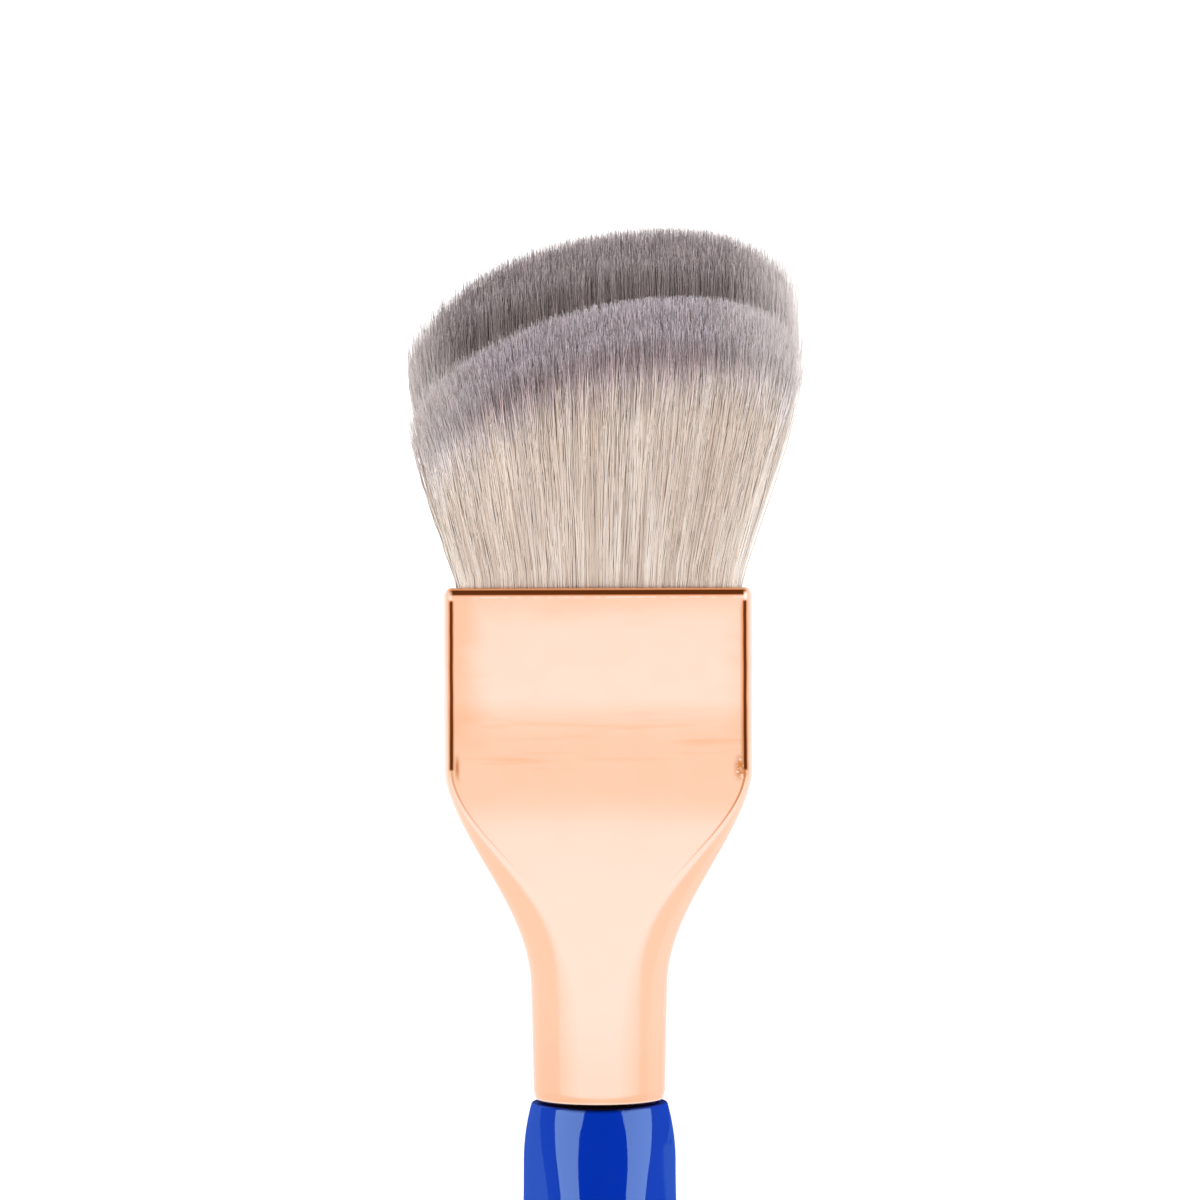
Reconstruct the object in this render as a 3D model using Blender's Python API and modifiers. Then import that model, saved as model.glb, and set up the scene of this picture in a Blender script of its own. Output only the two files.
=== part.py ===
"""Two-tier blending brush, lying on its back.

The brush has a wooden handle of rounded triangular section, a seamless metal ferrule that goes
from a round neck to a flat oblong mouth, and two bristle knots, a tall one at the back and a
shorter one in front. Inside the ferrule are the roots of the knots, a thread tie round each, a
spacer strip between them and the set resin that holds it all to the handle's tenon.

Metres, +Z up. The brush's axis runs along Y with the bristle tips at +Y and the front face up.
The origin is on the surface that the brush lies on, under the middle of its length.
"""

import math
import random
from collections import namedtuple

import bmesh
import bpy

MM = 0.001

# Clearance between pieces that touch or are glued together
SEAT_GAP = 0.3 * MM

# Ferrule: flat mouth, shoulder and round neck
FERRULE_LENGTH = 39.9 * MM
FERRULE_WALL = 0.4 * MM
MOUTH_WIDTH = 24.0 * MM
MOUTH_DEPTH = 9.4 * MM
MOUTH_CORNER_RADIUS = 1.0 * MM
FLAT_LENGTH = 14.2 * MM
SHOULDER_LENGTH = 16.8 * MM
NECK_RADIUS = 5.3 * MM
NECK_END_RADIUS = 5.1 * MM
SWELL_START = 8.4 * MM
SWELL_LENGTH = 10.6 * MM
ROUNDING_LENGTH = 21.0 * MM
LIP_INSET = 0.15 * MM
LIP_LENGTH = 0.7 * MM
RIM_CURL = 0.2 * MM
RIM_LENGTH = 0.6 * MM
SMALLEST_RADIUS = 0.1 * MM
SHOULDER_EASE_SHARE = 0.85
ROUNDING_POWER = 1.2
LIP_STEP_SHARES = (0.0, 0.12, 0.4, 1.0)

# Handle: tenon, collar, swelling grip and tapered tail
HANDLE_LENGTH = 121.6 * MM
TENON_LENGTH = 13.0 * MM
TENON_CHAMFER = 0.6 * MM
GROOVE_WIDTH = 1.4 * MM
GROOVE_DEPTH = 0.35 * MM
GROOVE_PLACE_SHARES = (0.32, 0.66)
COLLAR_RADIUS = 5.28 * MM
COLLAR_LENGTH = 4.7 * MM
COLLAR_WIDTH = 11.86 * MM
GRIP_WIDTH = 13.6 * MM
GRIP_EDGE_RADIUS = 3.9 * MM
GRIP_START = 31.0 * MM
GRIP_FLAT_LENGTH = 18.0 * MM
FACET_RUNOUT = 22.0 * MM
TAIL_WIDTH = 6.4 * MM
TAIL_ROUNDING = 4.6 * MM
TAPER_BELLY_SHARE = 0.35

# Knots: root block inside the ferrule, flare and domed tips
ROOT_DEPTH = 12.0 * MM
WAIST_START = 7.6 * MM
WAIST_LENGTH = 2.4 * MM
WAIST_RAMP = 0.5 * MM
THREAD_THICKNESS = 0.45 * MM
FLARE_HEIGHT = 16.5 * MM
FLARE_LEFT = 3.85 * MM
FLARE_RIGHT = 4.45 * MM
FLARED_HALF_DEPTH = 5.5 * MM
PARTING_GAP = 0.5 * MM
TIP_UNEVENNESS = 0.7 * MM
FLARE_POWER = 1.2
DOME_ROOT_POWER = 0.5
SIDE_PULL_SHARE = 0.02
CORNER_PULL_SHARE = 0.24
CORNER_POWER = 24
DOME_SAMPLES = 100
STRAND_COLUMNS = 30
STRAND_ROWS = 5
STRAND_LEVEL_SHARES = (0.0, 0.52, 0.9)
STRAND_FILL_SHARES = (0.62, 0.72, 0.62)

# Front knot, the shorter one
FRONT_REACH = 23.1 * MM
FRONT_SLANT = 3.25 * MM
FRONT_RISE = 7.3 * MM
FRONT_FALL = 7.6 * MM
FRONT_CREST_SHARE = 0.35
FRONT_DOME_POWER = 2.0
FRONT_SEED = 3

# Rear knot, the taller one
REAR_REACH = 28.4 * MM
REAR_SLANT = 2.6 * MM
REAR_RISE = 8.05 * MM
REAR_FALL = 9.9 * MM
REAR_CREST_SHARE = 0.55
REAR_DOME_POWER = 2.3
REAR_SEED = 7

# Spacer strip between the knots, and thread ties
SPACER_THICKNESS = 0.8 * MM
SPACER_RECESS = 1.5 * MM
SPACER_EDGE = 0.15 * MM
TIE_TURNS = 4
TIE_CORNER_RADIUS = 0.7 * MM
TIE_SCALLOP_SHARE = 0.25

# Facets
CORNER_STEPS = 8
EDGE_STEPS = 9
SHOULDER_STEPS = 16
SWELL_STEPS = 5
NECK_STEPS = 5
COLLAR_STEPS = 6
RUNOUT_STEPS = 8
TAPER_STEPS = 14
TAIL_STEPS = 6
PLUG_STEPS = 12
TIE_CORNER_STEPS = 4
SMOOTH_ANGLE = math.radians(35.0)

# Sizes that follow from the ones above
FRONT, REAR = 1, -1
NECK_START = FLAT_LENGTH + SHOULDER_LENGTH
GRIP_SIDE = GRIP_WIDTH - 2.0 * GRIP_EDGE_RADIUS
GRIP_FACET_DEPTH = GRIP_EDGE_RADIUS + GRIP_SIDE / (2.0 * math.sqrt(3.0))
AXIS_HEIGHT = max(GRIP_FACET_DEPTH, FLARED_HALF_DEPTH, MOUTH_DEPTH / 2.0)
TENON_RADIUS = NECK_END_RADIUS - FERRULE_WALL - SEAT_GAP
TOTAL_LENGTH = REAR_REACH + FERRULE_LENGTH + SEAT_GAP + HANDLE_LENGTH
MOUTH_PLACE = TOTAL_LENGTH / 2.0 - REAR_REACH
BORE_INSET = FERRULE_WALL + LIP_INSET + SEAT_GAP
ROOT_HALF_WIDTH = MOUTH_WIDTH / 2.0 - BORE_INSET
ROOT_OUTER_DEPTH = MOUTH_DEPTH / 2.0 - BORE_INSET
ROOT_INNER_DEPTH = SPACER_THICKNESS / 2.0 + SEAT_GAP
ROOT_HALF_DEPTH = (ROOT_OUTER_DEPTH - ROOT_INNER_DEPTH) / 2.0
ROOT_MIDDLE = (ROOT_OUTER_DEPTH + ROOT_INNER_DEPTH) / 2.0
WAIST_INSET = THREAD_THICKNESS + SEAT_GAP

KnotShape = namedtuple("KnotShape", "side reach slant rise fall crest_share dome_power seed")
FRONT_SHAPE = KnotShape(
    FRONT,
    FRONT_REACH,
    FRONT_SLANT,
    FRONT_RISE,
    FRONT_FALL,
    FRONT_CREST_SHARE,
    FRONT_DOME_POWER,
    FRONT_SEED,
)
REAR_SHAPE = KnotShape(
    REAR,
    REAR_REACH,
    REAR_SLANT,
    REAR_RISE,
    REAR_FALL,
    REAR_CREST_SHARE,
    REAR_DOME_POWER,
    REAR_SEED,
)


def clear_scene():
    """Removes every object that the file opened with."""
    for obj in list(bpy.data.objects):
        bpy.data.objects.remove(obj, do_unlink=True)


def smoothstep(value):
    """Returns 0 to 1 with level ends, for a value held between 0 and 1."""
    held = min(max(value, 0.0), 1.0)
    return held * held * (3.0 - 2.0 * held)


def blend(low, high, share):
    """Returns the value that lies this share of the way from low to high."""
    return low + (high - low) * share


def spaced(start, end, count):
    """Returns count places after start, evenly spaced, the last of them at end."""
    return [blend(start, end, step / count) for step in range(1, count + 1)]


def make_material(name, colour, roughness, metallic=0.0, coat=0.0):
    """Makes a Principled material."""
    material = bpy.data.materials.new(name)
    material.use_nodes = True
    shader = material.node_tree.nodes["Principled BSDF"]
    shader.inputs["Base Color"].default_value = (*colour, 1.0)
    shader.inputs["Roughness"].default_value = roughness
    shader.inputs["Metallic"].default_value = metallic
    shader.inputs["Coat Weight"].default_value = coat
    material.diffuse_color = (*colour, 1.0)
    return material


def finish_object(name, mesh_builder, material, place, parent, collection):
    """Turns a bmesh into a named object at its place under the parent.

    Every face is made to point outwards, and only true edges stay sharp.
    """
    bmesh.ops.recalc_face_normals(mesh_builder, faces=mesh_builder.faces)
    if mesh_builder.calc_volume(signed=True) < 0.0:
        bmesh.ops.reverse_faces(mesh_builder, faces=mesh_builder.faces)
    mesh = bpy.data.meshes.new(name)
    mesh_builder.to_mesh(mesh)
    mesh_builder.free()
    mesh.shade_smooth()
    mesh.set_sharp_from_angle(angle=SMOOTH_ANGLE)
    mesh.materials.append(material)
    obj = bpy.data.objects.new(name, mesh)
    obj.parent = parent
    obj.location = place
    collection.objects.link(obj)
    return obj


def rounded_polygon(corners, radius, steps):
    """Returns the outline of a polygon rounded by arcs that stand on the given corner points.

    corners holds each arc's centre and middle direction. The points stand between the arcs'
    ends, so that they stay apart where the polygon shrinks to a circle, and the flats between
    the arcs lie on the true outline.
    """
    sweep = math.tau / len(corners)
    step = sweep / steps
    reach = radius / math.cos(step / 2.0)
    outline = []
    for centre_x, centre_z, middle in corners:
        for index in range(steps):
            angle = middle - sweep / 2.0 + step * (index + 0.5)
            outline.append((centre_x + reach * math.cos(angle), centre_z + reach * math.sin(angle)))
    return outline


def oblong_outline(half_width, half_depth, radius, steps=CORNER_STEPS):
    """Returns an oblong section with round corners, a circle where all three sizes agree."""
    across, deep = half_width - radius, half_depth - radius
    corners = []
    for turn in range(4):
        middle = math.tau * (turn + 0.5) / 4.0
        centre_x = math.copysign(across, math.cos(middle))
        centre_z = math.copysign(deep, math.sin(middle))
        corners.append((centre_x, centre_z, middle))
    return rounded_polygon(corners, radius, steps)


def triangle_outline(half_width, side):
    """Returns a rounded triangle with its ridge up and a flat facet below."""
    radius = half_width - side / 2.0
    corner_reach = side / math.sqrt(3.0)
    corners = []
    for turn in range(3):
        middle = math.pi / 2.0 + math.tau * turn / 3.0
        corners.append((corner_reach * math.cos(middle), corner_reach * math.sin(middle), middle))
    return rounded_polygon(corners, radius, EDGE_STEPS)


def add_ring(mesh_builder, outline, place):
    """Adds one section of a loft, this far back along the axis."""
    return [mesh_builder.verts.new((x, -place, z)) for x, z in outline]


def bridge(mesh_builder, ring, next_ring):
    """Joins two sections of a loft with a band of faces."""
    for index, vertex in enumerate(ring):
        following = (index + 1) % len(ring)
        mesh_builder.faces.new((vertex, ring[following], next_ring[following], next_ring[index]))


def loft(sections, start_cap=True, end_cap=True):
    """Skins a list of (place, outline) sections, and returns the bmesh."""
    mesh_builder = bmesh.new()
    rings = [add_ring(mesh_builder, outline, place) for place, outline in sections]
    for ring, next_ring in zip(rings, rings[1:]):
        bridge(mesh_builder, ring, next_ring)
    if start_cap:
        mesh_builder.faces.new(rings[0])
    if end_cap:
        mesh_builder.faces.new(rings[-1])
    return mesh_builder


def ferrule_half_width(place):
    """Returns half the ferrule's width, this far behind the mouth."""
    if place >= NECK_START:
        share = (place - NECK_START) / (FERRULE_LENGTH - NECK_START)
        return blend(NECK_RADIUS, NECK_END_RADIUS, share)
    along = max(place - FLAT_LENGTH, 0.0) / SHOULDER_LENGTH
    return blend(MOUTH_WIDTH / 2.0, NECK_RADIUS, smoothstep(along**SHOULDER_EASE_SHARE))


def ferrule_half_depth(place):
    """Returns half the ferrule's depth: the flat faces swell towards the neck."""
    if place >= NECK_START:
        return ferrule_half_width(place)
    return blend(MOUTH_DEPTH / 2.0, NECK_RADIUS, smoothstep((place - SWELL_START) / SWELL_LENGTH))


def ferrule_corner_radius(place):
    """Returns the radius of the ferrule's long edges, which open out into the round neck."""
    share = smoothstep((place - FLAT_LENGTH) / ROUNDING_LENGTH) ** ROUNDING_POWER
    return blend(MOUTH_CORNER_RADIUS, ferrule_half_width(place), share)


def ferrule_section(place, inset):
    """Returns the ferrule's section, drawn in by an inset measured square to its wall."""
    nearby = min(place + SEAT_GAP, FERRULE_LENGTH)
    before = nearby - 2.0 * SEAT_GAP
    width_slope = (ferrule_half_width(nearby) - ferrule_half_width(before)) / (nearby - before)
    depth_slope = (ferrule_half_depth(nearby) - ferrule_half_depth(before)) / (nearby - before)
    half_width = ferrule_half_width(place) - inset * math.hypot(1.0, width_slope)
    half_depth = ferrule_half_depth(place) - inset * math.hypot(1.0, depth_slope)
    radius = max(ferrule_corner_radius(place) - inset, SMALLEST_RADIUS)
    return oblong_outline(half_width, half_depth, min(radius, half_width, half_depth))


def ferrule_stations():
    """Returns the places of the ferrule's sections with the extra inset of its two edges."""
    stations = []
    for share in LIP_STEP_SHARES:
        stations.append((LIP_LENGTH * share, LIP_INSET * (1.0 - share) ** 2))
    flat_end = min(SWELL_START, FLAT_LENGTH)
    stations.append((flat_end, 0.0))
    stations += [(place, 0.0) for place in spaced(flat_end, FLAT_LENGTH, SWELL_STEPS)]
    stations += [(place, 0.0) for place in spaced(FLAT_LENGTH, NECK_START, SHOULDER_STEPS)]
    rim_start = FERRULE_LENGTH - RIM_LENGTH
    stations += [(place, 0.0) for place in spaced(NECK_START, rim_start, NECK_STEPS)]
    for share in reversed(LIP_STEP_SHARES[:-1]):
        stations.append((FERRULE_LENGTH - RIM_LENGTH * share, RIM_CURL * (1.0 - share) ** 2))
    return stations


def make_ferrule(material, parent, collection):
    """Makes the seamless ferrule as an open loft that a Solidify thickens inwards."""
    sections = [(place, ferrule_section(place, inset)) for place, inset in ferrule_stations()]
    mesh_builder = loft(sections, start_cap=False, end_cap=False)
    ferrule = finish_object("ferrule", mesh_builder, material, (0.0, 0.0, 0.0), parent, collection)
    shell = ferrule.modifiers.new("wall", "SOLIDIFY")
    shell.thickness = FERRULE_WALL
    shell.offset = -1.0
    shell.use_even_offset = True
    return ferrule


def tenon_stations():
    """Returns (place, radius) pairs from the tenon's end to the shoulder, with its glue grooves."""
    stations = [(-TENON_LENGTH, TENON_RADIUS - TENON_CHAMFER)]
    stations.append((-TENON_LENGTH + TENON_CHAMFER, TENON_RADIUS))
    for share in GROOVE_PLACE_SHARES:
        middle = -TENON_LENGTH * (1.0 - share)
        stations.append((middle - GROOVE_WIDTH / 2.0, TENON_RADIUS))
        stations.append((middle - GROOVE_WIDTH / 2.0 + GROOVE_DEPTH, TENON_RADIUS - GROOVE_DEPTH))
        stations.append((middle + GROOVE_WIDTH / 2.0 - GROOVE_DEPTH, TENON_RADIUS - GROOVE_DEPTH))
        stations.append((middle + GROOVE_WIDTH / 2.0, TENON_RADIUS))
    stations.append((0.0, TENON_RADIUS))
    return stations


def handle_half_width(place):
    """Returns half the handle's width, this far behind its shoulder."""
    grip_end = GRIP_START + GRIP_FLAT_LENGTH
    if place <= COLLAR_LENGTH:
        share = 1.0 - (1.0 - place / COLLAR_LENGTH) ** 2
        return blend(COLLAR_RADIUS, COLLAR_WIDTH / 2.0, share)
    if place <= grip_end:
        share = smoothstep((place - COLLAR_LENGTH) / (GRIP_START - COLLAR_LENGTH))
        return blend(COLLAR_WIDTH / 2.0, GRIP_WIDTH / 2.0, share)
    along = (place - grip_end) / (HANDLE_LENGTH - grip_end)
    share = blend(smoothstep(along), along, TAPER_BELLY_SHARE)
    return blend(GRIP_WIDTH / 2.0, TAIL_WIDTH / 2.0, share)


def handle_side(place):
    """Returns the side of the section's inner triangle, nothing at the round shoulder."""
    growth = 1.0 - (1.0 - min(place / FACET_RUNOUT, 1.0)) ** 2
    return GRIP_SIDE * growth * min(handle_half_width(place) / (GRIP_WIDTH / 2.0), 1.0)


def handle_places():
    """Returns the places of the handle's sections from the shoulder to the tail's rounding."""
    grip_end = GRIP_START + GRIP_FLAT_LENGTH
    tail_start = HANDLE_LENGTH - TAIL_ROUNDING
    places = [0.0]
    places += spaced(0.0, COLLAR_LENGTH, COLLAR_STEPS)
    places += spaced(COLLAR_LENGTH, GRIP_START, RUNOUT_STEPS)
    places.append(grip_end)
    places += spaced(grip_end, tail_start, TAPER_STEPS)
    return places


def make_handle(material, parent, collection):
    """Makes the turned and shaped handle, tenon included, as one loft."""
    sections = [(place, triangle_outline(radius, 0.0)) for place, radius in tenon_stations()]
    for place in handle_places():
        sections.append((place, triangle_outline(handle_half_width(place), handle_side(place))))
    tail_start = HANDLE_LENGTH - TAIL_ROUNDING
    for step in range(1, TAIL_STEPS):
        angle = math.pi / 2.0 * step / TAIL_STEPS
        place = tail_start + TAIL_ROUNDING * math.sin(angle)
        shrink = math.cos(angle)
        width, side = handle_half_width(place) * shrink, handle_side(place) * shrink
        sections.append((place, triangle_outline(width, side)))
    mesh_builder = loft(sections, end_cap=False)
    mesh_builder.verts.ensure_lookup_table()
    last_ring = mesh_builder.verts[-3 * EDGE_STEPS :]
    tail_tip = mesh_builder.verts.new((0.0, -HANDLE_LENGTH, 0.0))
    for index, vertex in enumerate(last_ring):
        mesh_builder.faces.new((vertex, last_ring[(index + 1) % len(last_ring)], tail_tip))
    shoulder = (0.0, -FERRULE_LENGTH - SEAT_GAP, 0.0)
    return finish_object("handle", mesh_builder, material, shoulder, parent, collection)


def make_glue_plug(material, parent, collection):
    """Makes the set resin that fills the ferrule between the knots' roots and the tenon."""
    start = ROOT_DEPTH + SEAT_GAP
    tenon_end = FERRULE_LENGTH + SEAT_GAP - TENON_LENGTH
    end = tenon_end - SEAT_GAP
    inset = FERRULE_WALL + SEAT_GAP
    sections = [
        (place - start, ferrule_section(place, inset))
        for place in [start, *spaced(start, end, PLUG_STEPS)]
    ]
    mesh_builder = loft(sections)
    return finish_object("glue_plug", mesh_builder, material, (0.0, -start, 0.0), parent, collection)


def make_spacer(material, parent, collection):
    """Makes the strip that keeps the two knots' roots apart."""
    length = ROOT_DEPTH - SPACER_RECESS
    mesh_builder = bmesh.new()
    bmesh.ops.create_cube(mesh_builder, size=1.0)
    size = (2.0 * ROOT_HALF_WIDTH, length, SPACER_THICKNESS)
    bmesh.ops.scale(mesh_builder, vec=size, verts=mesh_builder.verts)
    place = (0.0, -SPACER_RECESS - length / 2.0, 0.0)
    spacer = finish_object("spacer_strip", mesh_builder, material, place, parent, collection)
    edge = spacer.modifiers.new("edge", "BEVEL")
    edge.width = SPACER_EDGE
    edge.segments = 2
    return spacer


def dome_height(across, shape):
    """Returns how high the tips stand over the dome's base, at this share of the half width."""
    rounded = (1.0 - abs(across) ** shape.dome_power) ** DOME_ROOT_POWER
    return shape.slant * across + shape.rise * rounded


def waist_inset(height):
    """Returns how far the thread draws in a knot's root, at this height over the mouth."""
    place = -height
    entering = smoothstep((place - WAIST_START + WAIST_RAMP) / WAIST_RAMP)
    leaving = smoothstep((place - WAIST_START - WAIST_LENGTH) / WAIST_RAMP)
    return WAIST_INSET * (entering - leaving)


def knot_point(across, deep, height, side):
    """Returns the point of a knot at shares of its width and depth and at a real height.

    across and deep run from -1 to 1. Below the mouth the knot is a straight root with a waist;
    above it the strands fan out to both sides and then run straight.
    """
    if height <= 0.0:
        inset = waist_inset(height)
        half_width = ROOT_HALF_WIDTH - inset
        inner, outer = ROOT_INNER_DEPTH + inset, ROOT_OUTER_DEPTH - inset
    else:
        opening = 1.0 - (1.0 - min(height / FLARE_HEIGHT, 1.0)) ** FLARE_POWER
        half_width = ROOT_HALF_WIDTH + opening * (FLARE_RIGHT if across > 0.0 else FLARE_LEFT)
        inner = blend(ROOT_INNER_DEPTH, PARTING_GAP / 2.0, opening)
        outer = blend(ROOT_OUTER_DEPTH, FLARED_HALF_DEPTH, opening)
    corner = CORNER_PULL_SHARE * abs(across) ** CORNER_POWER * deep**2
    middle, half_depth = (inner + outer) / 2.0, (outer - inner) / 2.0
    return (
        across * half_width * (1.0 - SIDE_PULL_SHARE * deep**4),
        height,
        side * (middle + deep * half_depth * (1.0 - corner)),
    )


def shrink_face(face, share):
    """Draws a face in towards its centre."""
    centre = face.calc_center_median()
    for vertex in face.verts:
        vertex.co = centre.lerp(vertex.co, share)


def grow_strands(mesh_builder, roots, shape):
    """Raises one tapered four-sided strand from each root face, up to the domed tips.

    The mesh is still flat and square here: x and y are shares of the knot's width and depth,
    and z is the real height over the mouth.
    """
    rng = random.Random(shape.seed)
    steps = range(-DOME_SAMPLES, DOME_SAMPLES + 1)
    crown = max(dome_height(step / DOME_SAMPLES, shape) for step in steps)
    tips = []
    for root in roots:
        centre = root.calc_center_median()
        fall = shape.fall * ((centre.y + 1.0) / 2.0 - shape.crest_share) ** 2
        top = shape.reach - crown + dome_height(centre.x, shape) - fall
        tips.append(top - TIP_UNEVENNESS * rng.random())
    faces, fill = roots, 1.0
    for level, next_fill in zip(STRAND_LEVEL_SHARES, STRAND_FILL_SHARES):
        faces = bmesh.ops.extrude_discrete_faces(mesh_builder, faces=faces)["faces"]
        for face, tip in zip(faces, tips):
            shrink_face(face, next_fill / fill)
            for vertex in face.verts:
                vertex.co.z = tip * level
        fill = next_fill
    poked = bmesh.ops.poke(mesh_builder, faces=faces)
    for vertex, tip in zip(poked["verts"], tips):
        vertex.co.z = tip


def sink_root(mesh_builder):
    """Extends the rim of the flat grid down into the ferrule, with the thread's waist, and closes it."""
    rim = [edge for edge in mesh_builder.edges if edge.is_boundary]
    places = (
        WAIST_START - WAIST_RAMP,
        WAIST_START,
        WAIST_START + WAIST_LENGTH,
        WAIST_START + WAIST_LENGTH + WAIST_RAMP,
        ROOT_DEPTH,
    )
    for place in places:
        extruded = bmesh.ops.extrude_edge_only(mesh_builder, edges=rim)["geom"]
        rim = [item for item in extruded if isinstance(item, bmesh.types.BMEdge)]
        for vertex in (item for item in extruded if isinstance(item, bmesh.types.BMVert)):
            vertex.co.z = -place
    bmesh.ops.edgeloop_fill(mesh_builder, edges=rim)


def make_knot(name, shape, material, parent, collection):
    """Makes a bristle knot: strands fused to the slice of root that the ferrule holds."""
    mesh_builder = bmesh.new()
    bmesh.ops.create_grid(
        mesh_builder, x_segments=STRAND_COLUMNS, y_segments=STRAND_ROWS, size=1.0
    )
    roots = list(mesh_builder.faces)
    sink_root(mesh_builder)
    grow_strands(mesh_builder, roots, shape)
    for vertex in mesh_builder.verts:
        vertex.co = knot_point(vertex.co.x, vertex.co.y, vertex.co.z, shape.side)
    return finish_object(name, mesh_builder, material, (0.0, 0.0, 0.0), parent, collection)


def tie_profile():
    """Returns the section of the wound thread as (outward, along) points, one scallop a turn."""
    pitch = WAIST_LENGTH - 2.0 * SEAT_GAP
    turn = pitch / TIE_TURNS
    dip = THREAD_THICKNESS * TIE_SCALLOP_SHARE
    profile = [(0.0, pitch / 2.0), (0.0, -pitch / 2.0)]
    for index in range(TIE_TURNS):
        start = -pitch / 2.0 + turn * index
        profile.append((THREAD_THICKNESS - dip, start))
        profile.append((THREAD_THICKNESS, start + turn / 2.0))
    profile.append((THREAD_THICKNESS - dip, pitch / 2.0))
    return profile


def make_tie(name, side, material, parent, collection):
    """Makes the thread wound round a knot's root, in the waist that it pulls in."""
    mesh_builder = bmesh.new()
    rings = []
    for outward, along in tie_profile():
        draw_in = THREAD_THICKNESS - outward
        outline = oblong_outline(
            ROOT_HALF_WIDTH - draw_in,
            ROOT_HALF_DEPTH - draw_in,
            TIE_CORNER_RADIUS - draw_in,
            TIE_CORNER_STEPS,
        )
        rings.append(add_ring(mesh_builder, outline, along))
    for ring, next_ring in zip(rings, rings[1:] + rings[:1]):
        bridge(mesh_builder, ring, next_ring)
    place = (0.0, -WAIST_START - WAIST_LENGTH / 2.0, side * ROOT_MIDDLE)
    return finish_object(name, mesh_builder, material, place, parent, collection)


def build():
    """Builds the brush in its own collection, every piece under an empty at the mouth's centre."""
    clear_scene()
    collection = bpy.data.collections.new("blending_brush")
    bpy.context.scene.collection.children.link(collection)
    mouth = bpy.data.objects.new("mouth_centre", None)
    mouth.location = (0.0, MOUTH_PLACE, AXIS_HEIGHT)
    collection.objects.link(mouth)

    lacquer = make_material("blue_lacquer", (0.0, 0.03, 0.45), 0.12, coat=1.0)
    rose_metal = make_material("rose_gold_plate", (0.95, 0.62, 0.44), 0.12, metallic=1.0)
    front_fibre = make_material("front_fibre", (0.60, 0.50, 0.43), 0.65)
    rear_fibre = make_material("rear_fibre", (0.33, 0.28, 0.29), 0.65)
    resin = make_material("set_resin", (0.75, 0.62, 0.32), 0.3)
    card = make_material("spacer_card", (0.35, 0.31, 0.27), 0.8)
    front_thread = make_material("front_thread", (0.80, 0.78, 0.72), 0.8)
    rear_thread = make_material("rear_thread", (0.72, 0.70, 0.66), 0.8)

    make_handle(lacquer, mouth, collection)
    make_ferrule(rose_metal, mouth, collection)
    make_knot("front_tuft", FRONT_SHAPE, front_fibre, mouth, collection)
    make_knot("rear_tuft", REAR_SHAPE, rear_fibre, mouth, collection)
    make_glue_plug(resin, mouth, collection)
    make_spacer(card, mouth, collection)
    make_tie("front_root_tie", FRONT, front_thread, mouth, collection)
    make_tie("rear_root_tie", REAR, rear_thread, mouth, collection)


build()
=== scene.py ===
"""Dresses the two-tier blending brush and lights it as a product photograph.

The brush lies on its back on a white floor and the camera looks straight down at its head. The
ferrule and the handle are fine lofts that stand for their plainer solids, and the two bristle
knots are grown by Geometry Nodes, filament by filament, in the space that their solids hold.
"""

from __future__ import annotations

import logging
import math
from dataclasses import dataclass, field, fields
from enum import Enum

import bmesh
import bpy
from mathutils import Matrix, Vector

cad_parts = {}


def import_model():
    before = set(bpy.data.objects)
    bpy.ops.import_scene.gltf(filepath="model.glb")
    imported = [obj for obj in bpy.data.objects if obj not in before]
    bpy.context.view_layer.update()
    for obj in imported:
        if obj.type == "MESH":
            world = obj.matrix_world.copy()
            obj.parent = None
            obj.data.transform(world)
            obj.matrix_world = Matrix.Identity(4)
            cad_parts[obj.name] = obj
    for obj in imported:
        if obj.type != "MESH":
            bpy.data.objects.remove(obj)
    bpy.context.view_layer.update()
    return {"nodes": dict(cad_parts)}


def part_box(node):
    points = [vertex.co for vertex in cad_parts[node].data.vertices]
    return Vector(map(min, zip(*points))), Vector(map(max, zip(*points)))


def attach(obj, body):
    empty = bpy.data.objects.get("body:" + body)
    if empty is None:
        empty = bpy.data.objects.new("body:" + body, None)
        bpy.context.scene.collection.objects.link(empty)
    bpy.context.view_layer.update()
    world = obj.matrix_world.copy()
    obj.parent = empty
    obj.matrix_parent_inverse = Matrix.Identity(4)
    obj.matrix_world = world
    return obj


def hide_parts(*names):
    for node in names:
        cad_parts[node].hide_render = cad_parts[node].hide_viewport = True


LOG = logging.getLogger("blending_brush")
MM = 0.001
BODY = "root"
SHOULDER_GAP = 0.14 * MM
SHARP_ANGLE = math.radians(50.0)
PANEL_LENGTH = 14.0 * MM
CREASE_LENGTH = 23.4 * MM

Socket = bpy.types.NodeSocket
Colour = tuple[float, float, float]
Outline = list[tuple[float, float, float]]


class Side(Enum):
    """Which face of the brush a knot stands on."""

    FRONT = 1.0
    REAR = -1.0


def smoothstep(value: float) -> float:
    """Eases a value from 0 to 1 with level ends, held outside that range."""
    held = min(max(value, 0.0), 1.0)
    return held * held * (3.0 - 2.0 * held)


def blend(low: float, high: float, share: float) -> float:
    """Returns the value that lies this share of the way from low to high."""
    return low + (high - low) * share


def spaced(start: float, end: float, count: int) -> list[float]:
    """Returns count places after start, evenly spaced, the last of them at end."""
    return [blend(start, end, step / count) for step in range(1, count + 1)]


def srgb(red: int, green: int, blue: int) -> Colour:
    """Turns a colour written as 0 to 255 into the linear values that shaders take.

    Args:
        red: The red part.
        green: The green part.
        blue: The blue part.

    Returns:
        The same colour in linear light.
    """

    def linear(part: int) -> float:
        share = part / 255.0
        return share / 12.92 if share <= 0.04045 else ((share + 0.055) / 1.055) ** 2.4

    return linear(red), linear(green), linear(blue)


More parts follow.
